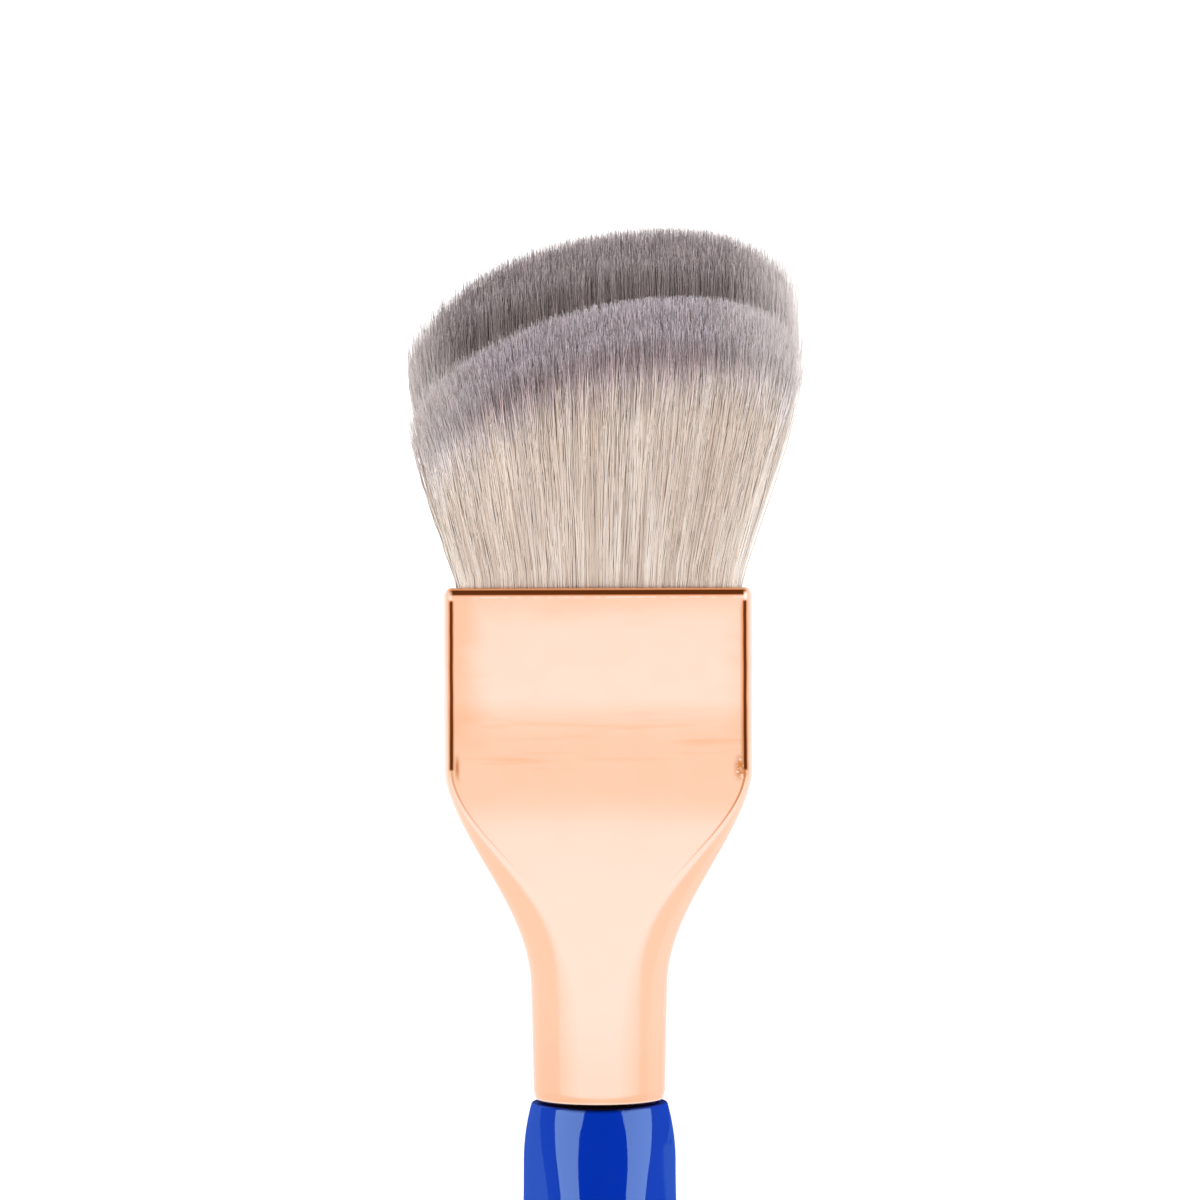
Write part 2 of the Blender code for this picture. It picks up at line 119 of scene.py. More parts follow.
class Graph:
    """Adds nodes to a node tree and links them, so that a formula reads as one."""

    def __init__(self, tree: bpy.types.NodeTree) -> None:
        """Wraps the shader or geometry tree that it adds nodes to."""
        self.tree = tree

    @staticmethod
    def pick(sockets: bpy.types.bpy_prop_collection, key: str | int) -> Socket:
        """Finds a socket by its place or by its name among those in use.

        Args:
            sockets: A node's inputs or outputs.
            key: The socket's index or name.

        Returns:
            The socket.
        """
        if isinstance(key, int):
            return sockets[key]
        return next(socket for socket in sockets if socket.enabled and socket.name == key)

    def add(self, kind: str, inputs: dict | None = None, **settings: object) -> bpy.types.Node:
        """Adds a node, sets its options and then its inputs.

        Args:
            kind: The node's type name.
            inputs: Values or sockets to feed it, keyed by input name or index.
            **settings: The node's own options.

        Returns:
            The new node.
        """
        node = self.tree.nodes.new(kind)
        for name, value in settings.items():
            setattr(node, name, value)
        for key, value in (inputs or {}).items():
            self.feed(self.pick(node.inputs, key), value)
        return node

    def feed(self, socket: Socket, value: object) -> None:
        """Links a socket into an input, or sets the input's own value.

        Args:
            socket: The input.
            value: A number, colour, name or material, or the socket to link.
        """
        if isinstance(value, Socket):
            self.tree.links.new(value, socket)
        else:
            socket.default_value = value

    def math(self, operation: str, *values: object, clamp: bool = False) -> Socket:
        """Adds a Math node over numbers or sockets in its own order, and returns its result."""
        node = self.add("ShaderNodeMath", dict(enumerate(values)), operation=operation, use_clamp=clamp)
        return node.outputs[0]

    def between(self, value: object, low: float, high: float) -> Socket:
        """Maps a value smoothly to 0 at low and 1 at high, whichever of them is larger."""
        inputs = {"Value": value, "From Min": low, "From Max": high}
        return self.add("ShaderNodeMapRange", inputs, interpolation_type="SMOOTHSTEP").outputs["Result"]

    def product(self, *factors: object) -> Socket:
        """Multiplies two or more numbers.

        Args:
            *factors: Numbers or sockets.

        Returns:
            The product's socket.
        """
        result = factors[0]
        for factor in factors[1:]:
            result = self.math("MULTIPLY", result, factor)
        return result

    def mix(self, factor: object, first: object, second: object) -> Socket:
        """Mixes two colours, each a socket or a linear colour.

        Args:
            factor: How much of the second colour shows.
            first: The colour at factor 0.
            second: The colour at factor 1.

        Returns:
            The mixed colour's socket.
        """
        node = self.add("ShaderNodeMix", data_type="RGBA")
        self.feed(node.inputs[0], factor)
        for place, colour in ((6, first), (7, second)):
            self.feed(node.inputs[place], (*colour, 1.0) if isinstance(colour, tuple) else colour)
        return node.outputs[2]

    def lerp(self, factor: object, low: object, high: object) -> Socket:
        """Mixes two numbers.

        Args:
            factor: How much of the second number shows.
            low: The number at factor 0.
            high: The number at factor 1.

        Returns:
            The mixed number's socket.
        """
        node = self.add("ShaderNodeMix", data_type="FLOAT")
        for place, value in ((0, factor), (2, low), (3, high)):
            self.feed(node.inputs[place], value)
        return node.outputs[0]

    def attribute(self, name: str) -> Socket:
        """Reads a number that the mesh carries under this name."""
        return self.add("ShaderNodeAttribute", attribute_name=name).outputs["Fac"]

    def noise(self, place: object, scale: float, detail: float = 2.0) -> Socket:
        """Adds a noise over a position, and returns its value."""
        inputs = {"Vector": place, "Scale": scale, "Detail": detail}
        return self.add("ShaderNodeTexNoise", inputs).outputs[0]

    def place(self) -> Socket:
        """Reads the position on the piece."""
        return self.add("ShaderNodeTexCoord").outputs["Object"]

    def vector(self, x: object, y: object, z: object = 0.0) -> Socket:
        """Makes a vector of three numbers."""
        return self.add("ShaderNodeCombineXYZ", {"X": x, "Y": y, "Z": z}).outputs[0]

    def parts(self, vector: object) -> bpy.types.bpy_prop_collection:
        """Splits a vector into its parts X, Y and Z."""
        return self.add("ShaderNodeSeparateXYZ", {"Vector": vector}).outputs

    def scaled(self, vector: object, factors: object) -> Socket:
        """Multiplies a vector or a colour part by part."""
        return self.add("ShaderNodeVectorMath", {0: vector, 1: factors}, operation="MULTIPLY").outputs[0]

    def surface(self, shader: bpy.types.Node) -> None:
        """Shows a shader node as the material's surface."""
        self.feed(self.tree.nodes["Material Output"].inputs["Surface"], shader.outputs[0])


def new_material(name: str) -> tuple[bpy.types.Material, Graph, bpy.types.Node]:
    """Makes an empty Principled material.

    Args:
        name: The material's name.

    Returns:
        The material, its graph and its Principled node.
    """
    material = bpy.data.materials.new(name)
    material.use_nodes = True
    return material, Graph(material.node_tree), material.node_tree.nodes["Principled BSDF"]


def build_surface_group() -> bpy.types.NodeTree:
    """Builds the shared surface unevenness: handling marks in the gloss and a shallow waviness.

    Returns:
        The node group, with inputs Position, Wave Scale, Mark Scale, Roughness and Variation,
        and outputs Roughness and Height.
    """
    tree = bpy.data.node_groups.new("uneven_gloss", "ShaderNodeTree")
    tree.interface.new_socket("Position", in_out="INPUT", socket_type="NodeSocketVector")
    for way, names in (
        ("INPUT", ("Wave Scale", "Mark Scale", "Roughness", "Variation")),
        ("OUTPUT", ("Roughness", "Height")),
    ):
        for name in names:
            tree.interface.new_socket(name, in_out=way, socket_type="NodeSocketFloat")
    graph = Graph(tree)
    given = graph.add("NodeGroupInput").outputs
    waves = graph.noise(given["Position"], 1.0, detail=1.0)
    graph.feed(waves.node.inputs["Scale"], given["Wave Scale"])
    marks = graph.noise(given["Position"], 1.0, detail=4.0)
    graph.feed(marks.node.inputs["Scale"], given["Mark Scale"])
    spread = graph.product(graph.between(marks, 0.35, 0.75), given["Variation"])
    graph.add(
        "NodeGroupOutput",
        {"Roughness": graph.math("ADD", given["Roughness"], spread), "Height": waves},
    )
    return tree


@dataclass(frozen=True)
class UnevenGloss:
    """How far a glossy finish strays from a perfect mirror."""

    roughness: float
    variation: float
    wave_scale: float
    mark_scale: float
    wave_height: float

    def apply(self, graph: Graph, shader: bpy.types.Node, group: bpy.types.NodeTree) -> None:
        """Feeds the shared unevenness into a shader's roughness and normal.

        Args:
            graph: The material's graph.
            shader: The material's Principled node.
            group: The shared node group.
        """
        uneven = graph.add("ShaderNodeGroup", node_tree=group)
        for name, value in (
            ("Position", graph.place()),
            ("Wave Scale", self.wave_scale),
            ("Mark Scale", self.mark_scale),
            ("Roughness", self.roughness),
            ("Variation", self.variation),
        ):
            graph.feed(uneven.inputs[name], value)
        graph.feed(shader.inputs["Roughness"], uneven.outputs["Roughness"])
        bump = graph.add(
            "ShaderNodeBump",
            {"Height": uneven.outputs["Height"], "Strength": 1.0, "Distance": self.wave_height},
        )
        graph.feed(shader.inputs["Normal"], bump.outputs["Normal"])


@dataclass(frozen=True)
class Slope:
    """A soft step over a distance, from nothing at its start to its strength at its end."""

    start: float
    end: float
    strength: float = 1.0

    def mask(self, graph: Graph, distance: object) -> Socket:
        """Returns the step's mask."""
        step = graph.between(distance, self.start, self.end)
        return step if self.strength == 1.0 else graph.product(step, self.strength)


@dataclass(frozen=True)
class Window:
    """A stretch between two distances, with soft ends."""

    low: float
    high: float
    soft: float
    strength: float = 1.0

    def mask(self, graph: Graph, distance: object) -> Socket:
        """Masks the stretch.

        Args:
            graph: The material's graph.
            distance: The distance that it is measured on.

        Returns:
            The mask, at its strength inside the stretch and nothing outside it.
        """
        rising = graph.between(distance, self.low - self.soft, self.low + self.soft)
        falling = Slope(self.high + self.soft, self.high - self.soft, self.strength)
        return graph.product(rising, falling.mask(graph, distance))


@dataclass(frozen=True)
class Grain:
    """A fine random pattern over a piece, which may be squeezed together along the brush."""

    scale: float
    low: float = 0.0
    high: float = 1.0
    detail: float = 2.0
    squeeze: float = 1.0

    def noise(self, graph: Graph, place: object) -> Socket:
        """Returns the pattern's value."""
        squeezed = place if self.squeeze == 1.0 else graph.scaled(place, (1.0, self.squeeze, 1.0))
        return graph.noise(squeezed, self.scale, detail=self.detail)

    def mask(self, graph: Graph, place: object) -> Socket:
        """Returns the mask of where the pattern is high, with soft edges."""
        return graph.between(self.noise(graph, place), self.low, self.high)


@dataclass(frozen=True)
class PaintedDarkLine:
    """A painted dark reflection line on the plating, between two distances across it."""

    start: float
    end: float
    soft: float = 0.03 * MM
    halo: float = 0.09 * MM

    def core(self, graph: Graph, distance: object) -> Socket:
        """Returns the mask of the line's dark middle."""
        return Window(self.start, self.end, self.soft).mask(graph, distance)

    def edge(self, graph: Graph, distance: object) -> Socket:
        """Returns the mask of the line with the warm painted halo at its edges."""
        return Window(self.start - self.halo, self.end + self.halo, self.halo).mask(graph, distance)


@dataclass(frozen=True)
class RoseGold:
    """Mirror-polished rose-gold plating with painted dark reflection lines round the flat panels.

    What runs along the ferrule is measured behind the mouth, and what runs across it outwards
    from the panel's edge, over the fold.
    """

    mouth_y: float
    half_width: float
    rim: float
    bright: Colour = (0.97, 0.600, 0.410)
    # warm is a painted reflection: the dimmer, warmer tone where the plating mirrors less light.
    warm: Colour = (0.955, 0.455, 0.250)
    # Painted dark reflection lines: their dark middle and the brown at their edges, also on the crease.
    line: Colour = srgb(96, 46, 17)
    line_edge: Colour = srgb(210, 136, 84)
    mark: Colour = srgb(205, 120, 52)
    # Near-white colour of the painted glints at the panel's top corners and round the right mark.
    spark: Colour = (1.0, 0.90, 0.74)
    # Pale colour of painted highlights: the strip by the crease, the glint under the lip, the rim line.
    pale: Colour = (0.99, 0.74, 0.60)
    gloss: UnevenGloss = UnevenGloss(0.13, 0.06, 130.0, 420.0, 0.03 * MM)
    on_panel: Slope = Slope(0.25 * MM, -0.15 * MM)
    side_line: PaintedDarkLine = PaintedDarkLine(-0.11 * MM, 0.12 * MM)
    side_line_run: Window = Window(1.0 * MM, PANEL_LENGTH, 0.12 * MM)
    wander: float = 0.03 * MM
    wander_scale: float = 260.0
    # Painted brown shade along the inner side of the right side line.
    inner_halo: tuple[Slope, Slope] = (Slope(-0.48 * MM, -0.10 * MM), Slope(0.1 * MM, 0.0))
    inner_halo_run: Window = Window(1.2 * MM, PANEL_LENGTH, 0.5 * MM)
    lip_line: PaintedDarkLine = PaintedDarkLine(0.17 * MM, 0.53 * MM)
    # Painted highlight under the lip line, broken by the speckle.
    lip_glint: Window = Window(0.66 * MM, 0.78 * MM, 0.04 * MM)
    speckle: Grain = Grain(1400.0, 0.36, 0.56, detail=1.0)
    # Painted glint at each top corner of the panel, broken by the speckle.
    corner: Window = Window(-0.05 * MM, 0.22 * MM, 0.10 * MM)
    corner_gaps: float = 0.4
    corner_run: Window = Window(0.36 * MM, 0.86 * MM, 0.14 * MM)
    # Painted dark reflection line along the shoulder's crease, weaker on the left.
    crease: PaintedDarkLine = PaintedDarkLine(-0.12 * MM, 0.06 * MM)
    crease_run: tuple[Slope, Slope] = (
        Slope(PANEL_LENGTH - 0.3 * MM, PANEL_LENGTH + 0.2 * MM),
        Slope(CREASE_LENGTH, PANEL_LENGTH + 2.0 * MM),
    )
    left_crease: float = 0.6
    # Painted highlight strip between the crease and the side.
    strip: Slope = Slope(0.20 * MM, 0.40 * MM)
    strip_run: Slope = Slope(CREASE_LENGTH, PANEL_LENGTH)
    # Painted highlight line just above the neck's rim.
    rim_line: Window = Window(0.12 * MM, 0.30 * MM, 0.05 * MM)
    mark_run: Window = Window(PANEL_LENGTH - 0.9 * MM, PANEL_LENGTH + 0.55 * MM, 0.6 * MM)
    left_mark: Window = Window(-0.56 * MM, -0.30 * MM, 0.16 * MM)
    right_mark: Window = Window(-0.72 * MM, 0.10 * MM, 0.30 * MM)
    blotch: Grain = Grain(1700.0, 0.30, 0.48)
    # Painted sparkles round the right side line's mark.
    sparkles: Window = Window(-0.7 * MM, 0.35 * MM, 0.1 * MM)
    glitter: Grain = Grain(2900.0, 0.56, 0.64, detail=1.0)
    # Where the painted warm reflection lies: panel sides and top, wisps, shoulder, neck and rim.
    streaks: Grain = Grain(170.0, detail=3.0, squeeze=3.0)
    streak_shift: float = 1.5 * MM
    tint_width: float = 4.2 * MM
    left_tint_margin: float = 0.5 * MM
    right_tint: tuple[float, float] = (0.76, 0.45)
    side_tint: float = 0.85
    top_tint: Slope = Slope(3.4 * MM, 0.2 * MM, 0.6)
    tint_run: Slope = Slope(PANEL_LENGTH, 9.0 * MM)
    wisps: Window = Window(10.0 * MM, 14.6 * MM, 1.6 * MM, 0.5)
    wisp_grain: Grain = Grain(110.0, 0.48, 0.72, squeeze=14.0)
    shoulder_tint: Window = Window(16.0 * MM, 20.0 * MM, 4.0 * MM, 0.16)
    neck_tint: Slope = Slope(32.0 * MM, 39.0 * MM, 0.25)
    rim_tint: Slope = Slope(1.7 * MM, 0.4 * MM, 0.45)

    def lines(self, graph: Graph, behind: object, fold: object) -> tuple[Socket, ...]:
        """Masks the painted dark reflection lines along the panel's sides and under the lip.

        Args:
            graph: The material's graph.
            behind: The distance behind the mouth.
            fold: The distance outwards from the panel's edge.

        Returns:
            The masks of the lines' dark middles and of their halos.
        """
        drift = graph.noise(behind, self.wander_scale)
        drift = graph.math("MULTIPLY_ADD", drift, 2.0 * self.wander, -self.wander)
        wandering = graph.math("ADD", fold, drift)
        along, on_panel = self.side_line_run.mask(graph, behind), self.on_panel.mask(graph, fold)
        return tuple(
            graph.math("MAXIMUM", graph.product(side, along), graph.product(lip, on_panel))
            for side, lip in (
                (self.side_line.core(graph, wandering), self.lip_line.core(graph, behind)),
                (self.side_line.edge(graph, wandering), self.lip_line.edge(graph, behind)),
            )
        )

    def tint(self, graph: Graph, place: object, behind: object, across: object) -> Socket:
        """Masks the painted warm reflection at the panel's top and sides, on the shoulder and down the neck.

        Args:
            graph: The material's graph.
            place: The position.
            behind: The distance behind the mouth.
            across: The distance across the panel.

        Returns:
            The mask's socket.
        """
        streaks = self.streaks.noise(graph, place)
        shift = graph.math("MULTIPLY_ADD", streaks, 2.0 * self.streak_shift, -self.streak_shift)
        shifted = graph.math("ADD", across, shift)
        narrower, weaker = self.right_tint
        edge = self.half_width
        left = graph.between(shifted, self.tint_width - edge, self.left_tint_margin - edge)
        right = graph.between(shifted, edge - narrower * self.tint_width, edge)
        sides = graph.math("MAXIMUM", left, graph.product(right, weaker))
        top = self.top_tint.mask(graph, graph.math("ADD", behind, shift))
        panel = graph.math("MAXIMUM", graph.math("MINIMUM", sides, self.side_tint), top)
        masks = [
            graph.product(panel, self.tint_run.mask(graph, behind)),
            graph.product(self.wisp_grain.mask(graph, place), self.wisps.mask(graph, behind)),
            self.shoulder_tint.mask(graph, behind),
            self.neck_tint.mask(graph, behind),
            self.rim_tint.mask(graph, graph.math("SUBTRACT", self.rim, behind)),
        ]
        strongest = masks[0]
        for mask in masks[1:]:
            strongest = graph.math("MAXIMUM", strongest, mask)
        return strongest

    def pinch(
        self, graph: Graph, place: object, behind: object, fold: object, on_right: object
    ) -> tuple[Socket, Socket]:
        """Masks the brown mark where each side line ends, and the painted sparkles round the right one.

        Args:
            graph: The material's graph.
            place: The position.
            behind: The distance behind the mouth.
            fold: The distance outwards from the panel's edge.
            on_right: 1 on the right half of the brush, 0 on the left.

        Returns:
            The masks of the marks and of the painted sparkles.
        """
        along = self.mark_run.mask(graph, behind)
        right_mark = graph.product(self.right_mark.mask(graph, fold), self.blotch.mask(graph, place))
        marks = graph.lerp(on_right, self.left_mark.mask(graph, fold), right_mark)
        sparkles = graph.product(
            self.sparkles.mask(graph, fold), on_right, self.glitter.mask(graph, place)
        )
        return graph.product(along, marks), graph.product(along, sparkles)

    def build(self, group: bpy.types.NodeTree) -> bpy.types.Material:
        """Builds the material.

        Args:
            group: The shared unevenness.

        Returns:
            The plating's material.
        """
        material, graph, shader = new_material("rose_gold_plate")
        place = graph.place()
        parts = graph.parts(place)
        behind = graph.math("SUBTRACT", self.mouth_y, parts["Y"])
        fold = graph.attribute("fold_distance")
        on_right = graph.math("GREATER_THAN", parts["X"], 0.0)
        speckle = self.speckle.mask(graph, place)
        # Painted shade inside the right side line.
        inner_halo = graph.product(
            *(slope.mask(graph, fold) for slope in self.inner_halo),
            self.inner_halo_run.mask(graph, behind),
            on_right,
        )
        strip = graph.product(self.strip.mask(graph, fold), self.strip_run.mask(graph, behind))
        lip_glint = graph.product(
            self.lip_glint.mask(graph, behind), self.on_panel.mask(graph, fold), speckle
        )
        # Painted crease line, starting behind the panel and fading down the shoulder.
        crease = graph.product(
            self.crease.core(graph, fold),
            *(slope.mask(graph, behind) for slope in self.crease_run),
            graph.lerp(on_right, self.left_crease, 1.0),
        )
        pinch, painted_sparkle = self.pinch(graph, place, behind, fold, on_right)
        rim_line = self.rim_line.mask(graph, graph.math("SUBTRACT", self.rim, behind))
        core, halo = self.lines(graph, behind, fold)
        corner = graph.product(
            self.corner_run.mask(graph, behind),
            self.corner.mask(graph, fold),
            graph.lerp(speckle, self.corner_gaps, 1.0),
        )
        colour = graph.mix(self.tint(graph, place, behind, parts["X"]), self.bright, self.warm)
        # Rows paint over the plating: painted shade, highlights, glints and dark lines, and the brown marks.
        for mask, amount, shade in (
            (inner_halo, 0.75, self.line_edge),
            (strip, 0.7, self.pale),
            (lip_glint, 0.45, self.pale),
            (crease, 0.95, self.line_edge),
            (pinch, 0.9, self.mark),
            (painted_sparkle, 0.8, self.spark),
            (rim_line, 0.8, self.pale),
            (halo, 0.95, self.line_edge),
            (core, 1.0, self.line),
            (corner, 1.0, self.spark),
        ):
            colour = graph.mix(graph.product(mask, amount), colour, shade)
        graph.feed(shader.inputs["Base Color"], colour)
        shader.inputs["Metallic"].default_value = 1.0
        self.gloss.apply(graph, shader, group)
        return material


@dataclass(frozen=True)
class BlueLacquer:
    """Deep glossy blue lacquer over the wood, which stops at the shoulder, where a painted shade darkens it.
    """

    shoulder_y: float
    deep: Colour = (0.0018, 0.043, 0.640)
    light: Colour = (0.0020, 0.049, 0.668)
    depth: Grain = Grain(60.0, 0.3, 0.7, detail=3.0)
    bare: Colour = srgb(46, 30, 20)
    # Painted shade under the ferrule's rim: the lacquer goes near black and loses its reflection there.
    shade: Colour = (0.0012, 0.004, 0.030)
    shade_length: float = 0.38 * MM
    shade_half_width: float = 5.0 * MM
    reflectance: float = 0.045
    edge_reflectance: float = 0.07
    edge: float = 0.02 * MM
    gloss: UnevenGloss = UnevenGloss(0.05, 0.03, 240.0, 600.0, 0.002 * MM)

    def build(self, group: bpy.types.NodeTree) -> bpy.types.Material:
        """Builds the material.

        Args:
            group: The shared unevenness.

        Returns:
            The lacquer's material.
        """
        material, graph, shader = new_material("blue_lacquer")
        place = graph.place()
        parts = graph.parts(place)
        lacquer = graph.mix(self.depth.mask(graph, place), self.deep, self.light)
        tenon = graph.between(parts["Y"], self.shoulder_y - self.edge, self.shoulder_y + self.edge)
        # Painted shade, longest in the middle of the shoulder and gone at the sides.
        aside = graph.math("POWER", graph.math("DIVIDE", parts["X"], self.shade_half_width), 2.0)
        lowered = graph.math("MULTIPLY_ADD", aside, -self.shade_length, parts["Y"])
        shaded = graph.between(lowered, self.shoulder_y - self.shade_length, self.shoulder_y - self.edge)
        lacquer = graph.mix(shaded, lacquer, self.shade)
        graph.feed(shader.inputs["Base Color"], graph.mix(tenon, lacquer, self.bare))
        shader.inputs["Specular IOR Level"].default_value = 0.0
        self.gloss.apply(graph, shader, group)
        mirror = graph.add("ShaderNodeBsdfAnisotropic")
        for name in ("Roughness", "Normal"):
            graph.feed(mirror.inputs[name], shader.inputs[name].links[0].from_socket)
        facing = graph.add("ShaderNodeLayerWeight", {"Blend": 0.5}).outputs["Facing"]
        sheen = graph.lerp(facing, self.reflectance, self.edge_reflectance)
        # No reflection on the bare tenon or in the painted shade.
        sheen = graph.lerp(graph.math("MAXIMUM", tenon, shaded), sheen, 0.0)
        layers = {0: sheen, 1: shader.outputs[0], 2: mirror.outputs[0]}
        graph.surface(graph.add("ShaderNodeMixShader", layers))
        return material


@dataclass(frozen=True)
class Filament:
    """Fine synthetic bristle, dipped in dye at its tip.

    The colours follow the distance from the tip that each filament carries. A tone and a tint of
    its own set each filament a little apart from the next, and light passes through it. The paler
    sides and outermost filaments are painted light, and the browner deeper filaments painted shade.
    """

    name: str
    root: Colour
    cool_root: Colour
    tip: Colour
    band: Colour
    fade_start: float
    fade_end: float
    # Browner colour of deep-lying filaments: painted shade between their neighbours.
    inside: Colour
    # The paleness fields paint light on the knot's sides and on its outermost filaments.
    pale_left: float
    pale_right: float
    pale: Colour = (0.94, 0.865, 0.845)
    pale_root: Colour = (0.90, 0.825, 0.75)
    pale_spread: float = 0.42
    pale_widening: tuple[float, float] = (1.0 * MM, 6.0 * MM)
    pale_tone_spread: float = 0.12
    undyed_pale_start: float = 0.84
    raised_dye: float = 1.2 * MM
    raised_dye_start: float = -0.68
    tip_length: float = 1.5 * MM
    # Depths at which the painted shade of deep-lying filaments starts and becomes full.
    buried: tuple[float, float] = (0.92, 0.6)
    light_gain: Colour = (1.15, 1.16, 1.18)
    dark_gain: Colour = (0.74, 0.65, 0.60)
    dyed_spread: float = 0.58
    outer_evenness: float = 0.5
    hue_spread: float = 0.022
    blue_weight: float = 1.6
    roughness: float = 0.5
    specular: float = 0.25
    translucency: float = 0.10

    def paleness(self, graph: Graph, across: object, from_tip: object) -> Socket:
        """Works out the painted light that pales the dye at the knot's sides, wider below the tips.

        Args:
            graph: The material's graph.
            across: Where the filament is rooted, from side to side.
            from_tip: The distance from its tip.

        Returns:
            The paleness, from 0 to 1.
        """
        lower = graph.product(graph.between(from_tip, *self.pale_widening), self.pale_spread)
        left = graph.between(across, graph.math("SUBTRACT", lower, self.pale_left), -1.0)
        right = graph.between(across, graph.math("SUBTRACT", self.pale_right, lower), 1.0)
        return graph.math("MAXIMUM", left, right)

    def fade(self, graph: Graph, across: object, from_tip: object) -> Socket:
        """Works out how far the dye has run out, a little sooner at the left side.

        Args:
            graph: The material's graph.
            across: Where the filament is rooted, from side to side.
            from_tip: The distance from its tip.

        Returns:
            The fade, 0 where it is dyed and 1 where it is not.
        """
        raised = graph.product(graph.between(across, self.raised_dye_start, -1.0), self.raised_dye)
        reach = graph.math("ADD", graph.math("ADD", from_tip, graph.attribute("dye_shift")), raised)
        return graph.between(reach, self.fade_start, self.fade_end)

    def build(self) -> bpy.types.Material:
        """Builds the material.

        Returns:
            The filaments' material.
        """
        material, graph, shader = new_material(self.name)
        from_tip, across = graph.attribute("from_tip"), graph.attribute("across")
        paleness, fade = self.paleness(graph, across, from_tip), self.fade(graph, across, from_tip)
        # Painted light: the sides and outermost filaments are paler, with less spread of tone.
        outermost = graph.between(graph.math("ABSOLUTE", across), self.undyed_pale_start, 1.0)
        dyed = graph.mix(graph.between(from_tip, 0.0, self.tip_length), self.tip, self.band)
        dyed = graph.mix(paleness, dyed, self.pale)
        # Painted shade on the deep-lying filaments.
        buried = graph.between(graph.math("ABSOLUTE", graph.attribute("deep")), *self.buried)
        undyed = graph.mix(graph.attribute("tint"), self.root, self.cool_root)
        undyed = graph.mix(outermost, graph.mix(buried, undyed, self.inside), self.pale_root)
        gain = graph.mix(graph.attribute("tone"), self.dark_gain, self.light_gain)
        gain = graph.mix(graph.product(outermost, self.outer_evenness), gain, (1.0, 1.0, 1.0))
        spread = graph.lerp(paleness, self.dyed_spread, self.pale_tone_spread)
        own = graph.math("MULTIPLY_ADD", graph.attribute("own_tone"), 2.0, -1.0)
        gain = graph.mix(fade, graph.math("MULTIPLY_ADD", own, spread, 1.0), gain)
        warm, cool = (
            (1.0 + side * self.hue_spread, 1.0, 1.0 - self.blue_weight * side * self.hue_spread)
            for side in (1.0, -1.0)
        )
        toned = graph.scaled(graph.mix(fade, dyed, undyed), gain)
        toned = graph.scaled(toned, graph.mix(graph.attribute("hue"), warm, cool))
        graph.feed(shader.inputs["Base Color"], toned)
        shader.inputs["Roughness"].default_value = self.roughness
        shader.inputs["Specular IOR Level"].default_value = self.specular
        through = graph.add("ShaderNodeBsdfTranslucent", {"Color": toned})
        layers = {0: self.translucency, 1: shader.outputs[0], 2: through.outputs[0]}
        graph.surface(graph.add("ShaderNodeMixShader", layers))
        return material


@dataclass(frozen=True)
class HiddenFinish:
    """A plain finish with a fine mottle, for what lies inside the ferrule."""

    name: str
    base: Colour
    mottle: Colour
    roughness: float
    scale: float

    def build(self) -> bpy.types.Material:
        """Builds the material.

        Returns:
            The finish's material.
        """
        material, graph, shader = new_material(self.name)
        grain = graph.noise(graph.place(), self.scale, detail=4.0)
        graph.feed(shader.inputs["Base Color"], graph.mix(grain, self.base, self.mottle))
        shader.inputs["Roughness"].default_value = self.roughness
        bump = graph.add("ShaderNodeBump", {"Height": grain, "Distance": 0.02 * MM})
        graph.feed(shader.inputs["Normal"], bump.outputs["Normal"])
        return material


@dataclass(frozen=True)
class BrushFrame:
    """The places that everything is built from, read off the solids."""

    mouth: Vector
    ferrule_length: float
    mouth_half_width: float
    shoulder_y: float
    handle_length: float
    tenon_length: float
    grip_half_width: float

    @classmethod
    def measure(cls) -> BrushFrame:
        """Reads the solids' boxes.

        Returns:
            The brush's own places.
        """
        ferrule_low, ferrule_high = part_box("ferrule")
        handle_low, handle_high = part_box("handle")
        axis_height = (ferrule_low.z + ferrule_high.z) / 2.0
        mouth = Vector((0.0, ferrule_high.y, axis_height))
        shoulder_y = ferrule_low.y - SHOULDER_GAP
        return cls(
            mouth=mouth,
            ferrule_length=ferrule_high.y - ferrule_low.y,
            mouth_half_width=(ferrule_high.x - ferrule_low.x) / 2.0,
            shoulder_y=shoulder_y,
            handle_length=shoulder_y - handle_low.y,
            tenon_length=handle_high.y - shoulder_y,
            grip_half_width=(handle_high.x - handle_low.x) / 2.0,
        )


def mesh_object(name: str, rings: list[Outline], closed: bool) -> bpy.types.Object:
    """Skins a run of rings into a smooth mesh object.

    Args:
        name: The object's name.
        rings: Rings of (x, y, z) points, all of one length.
        closed: Whether the last ring joins the first, as on a shell with two lips. Otherwise
            both ends are closed by a fan to the middle of their ring.

    Returns:
        The object, linked to the scene.
    """
    builder = bmesh.new()
    rows = [[builder.verts.new(point) for point in ring] for ring in rings]
    pairs = list(zip(rows, rows[1:]))
    if closed:
        pairs.append((rows[-1], rows[0]))
    for row, next_row in pairs:
        for index, vertex in enumerate(row):
            following = (index + 1) % len(row)
            builder.faces.new((vertex, row[following], next_row[following], next_row[index]))
    if not closed:
        for row in (rows[0], rows[-1]):
            middle = sum((vertex.co for vertex in row), Vector()) / len(row)
            pole = builder.verts.new(middle)
            for index, vertex in enumerate(row):
                builder.faces.new((vertex, row[(index + 1) % len(row)], pole))
    bmesh.ops.recalc_face_normals(builder, faces=builder.faces)
    mesh = bpy.data.meshes.new(name)
    builder.to_mesh(mesh)
    builder.free()
    mesh.shade_smooth()
    mesh.set_sharp_from_angle(angle=SHARP_ANGLE)
    obj = bpy.data.objects.new(name, mesh)
    bpy.context.scene.collection.objects.link(obj)
    return obj


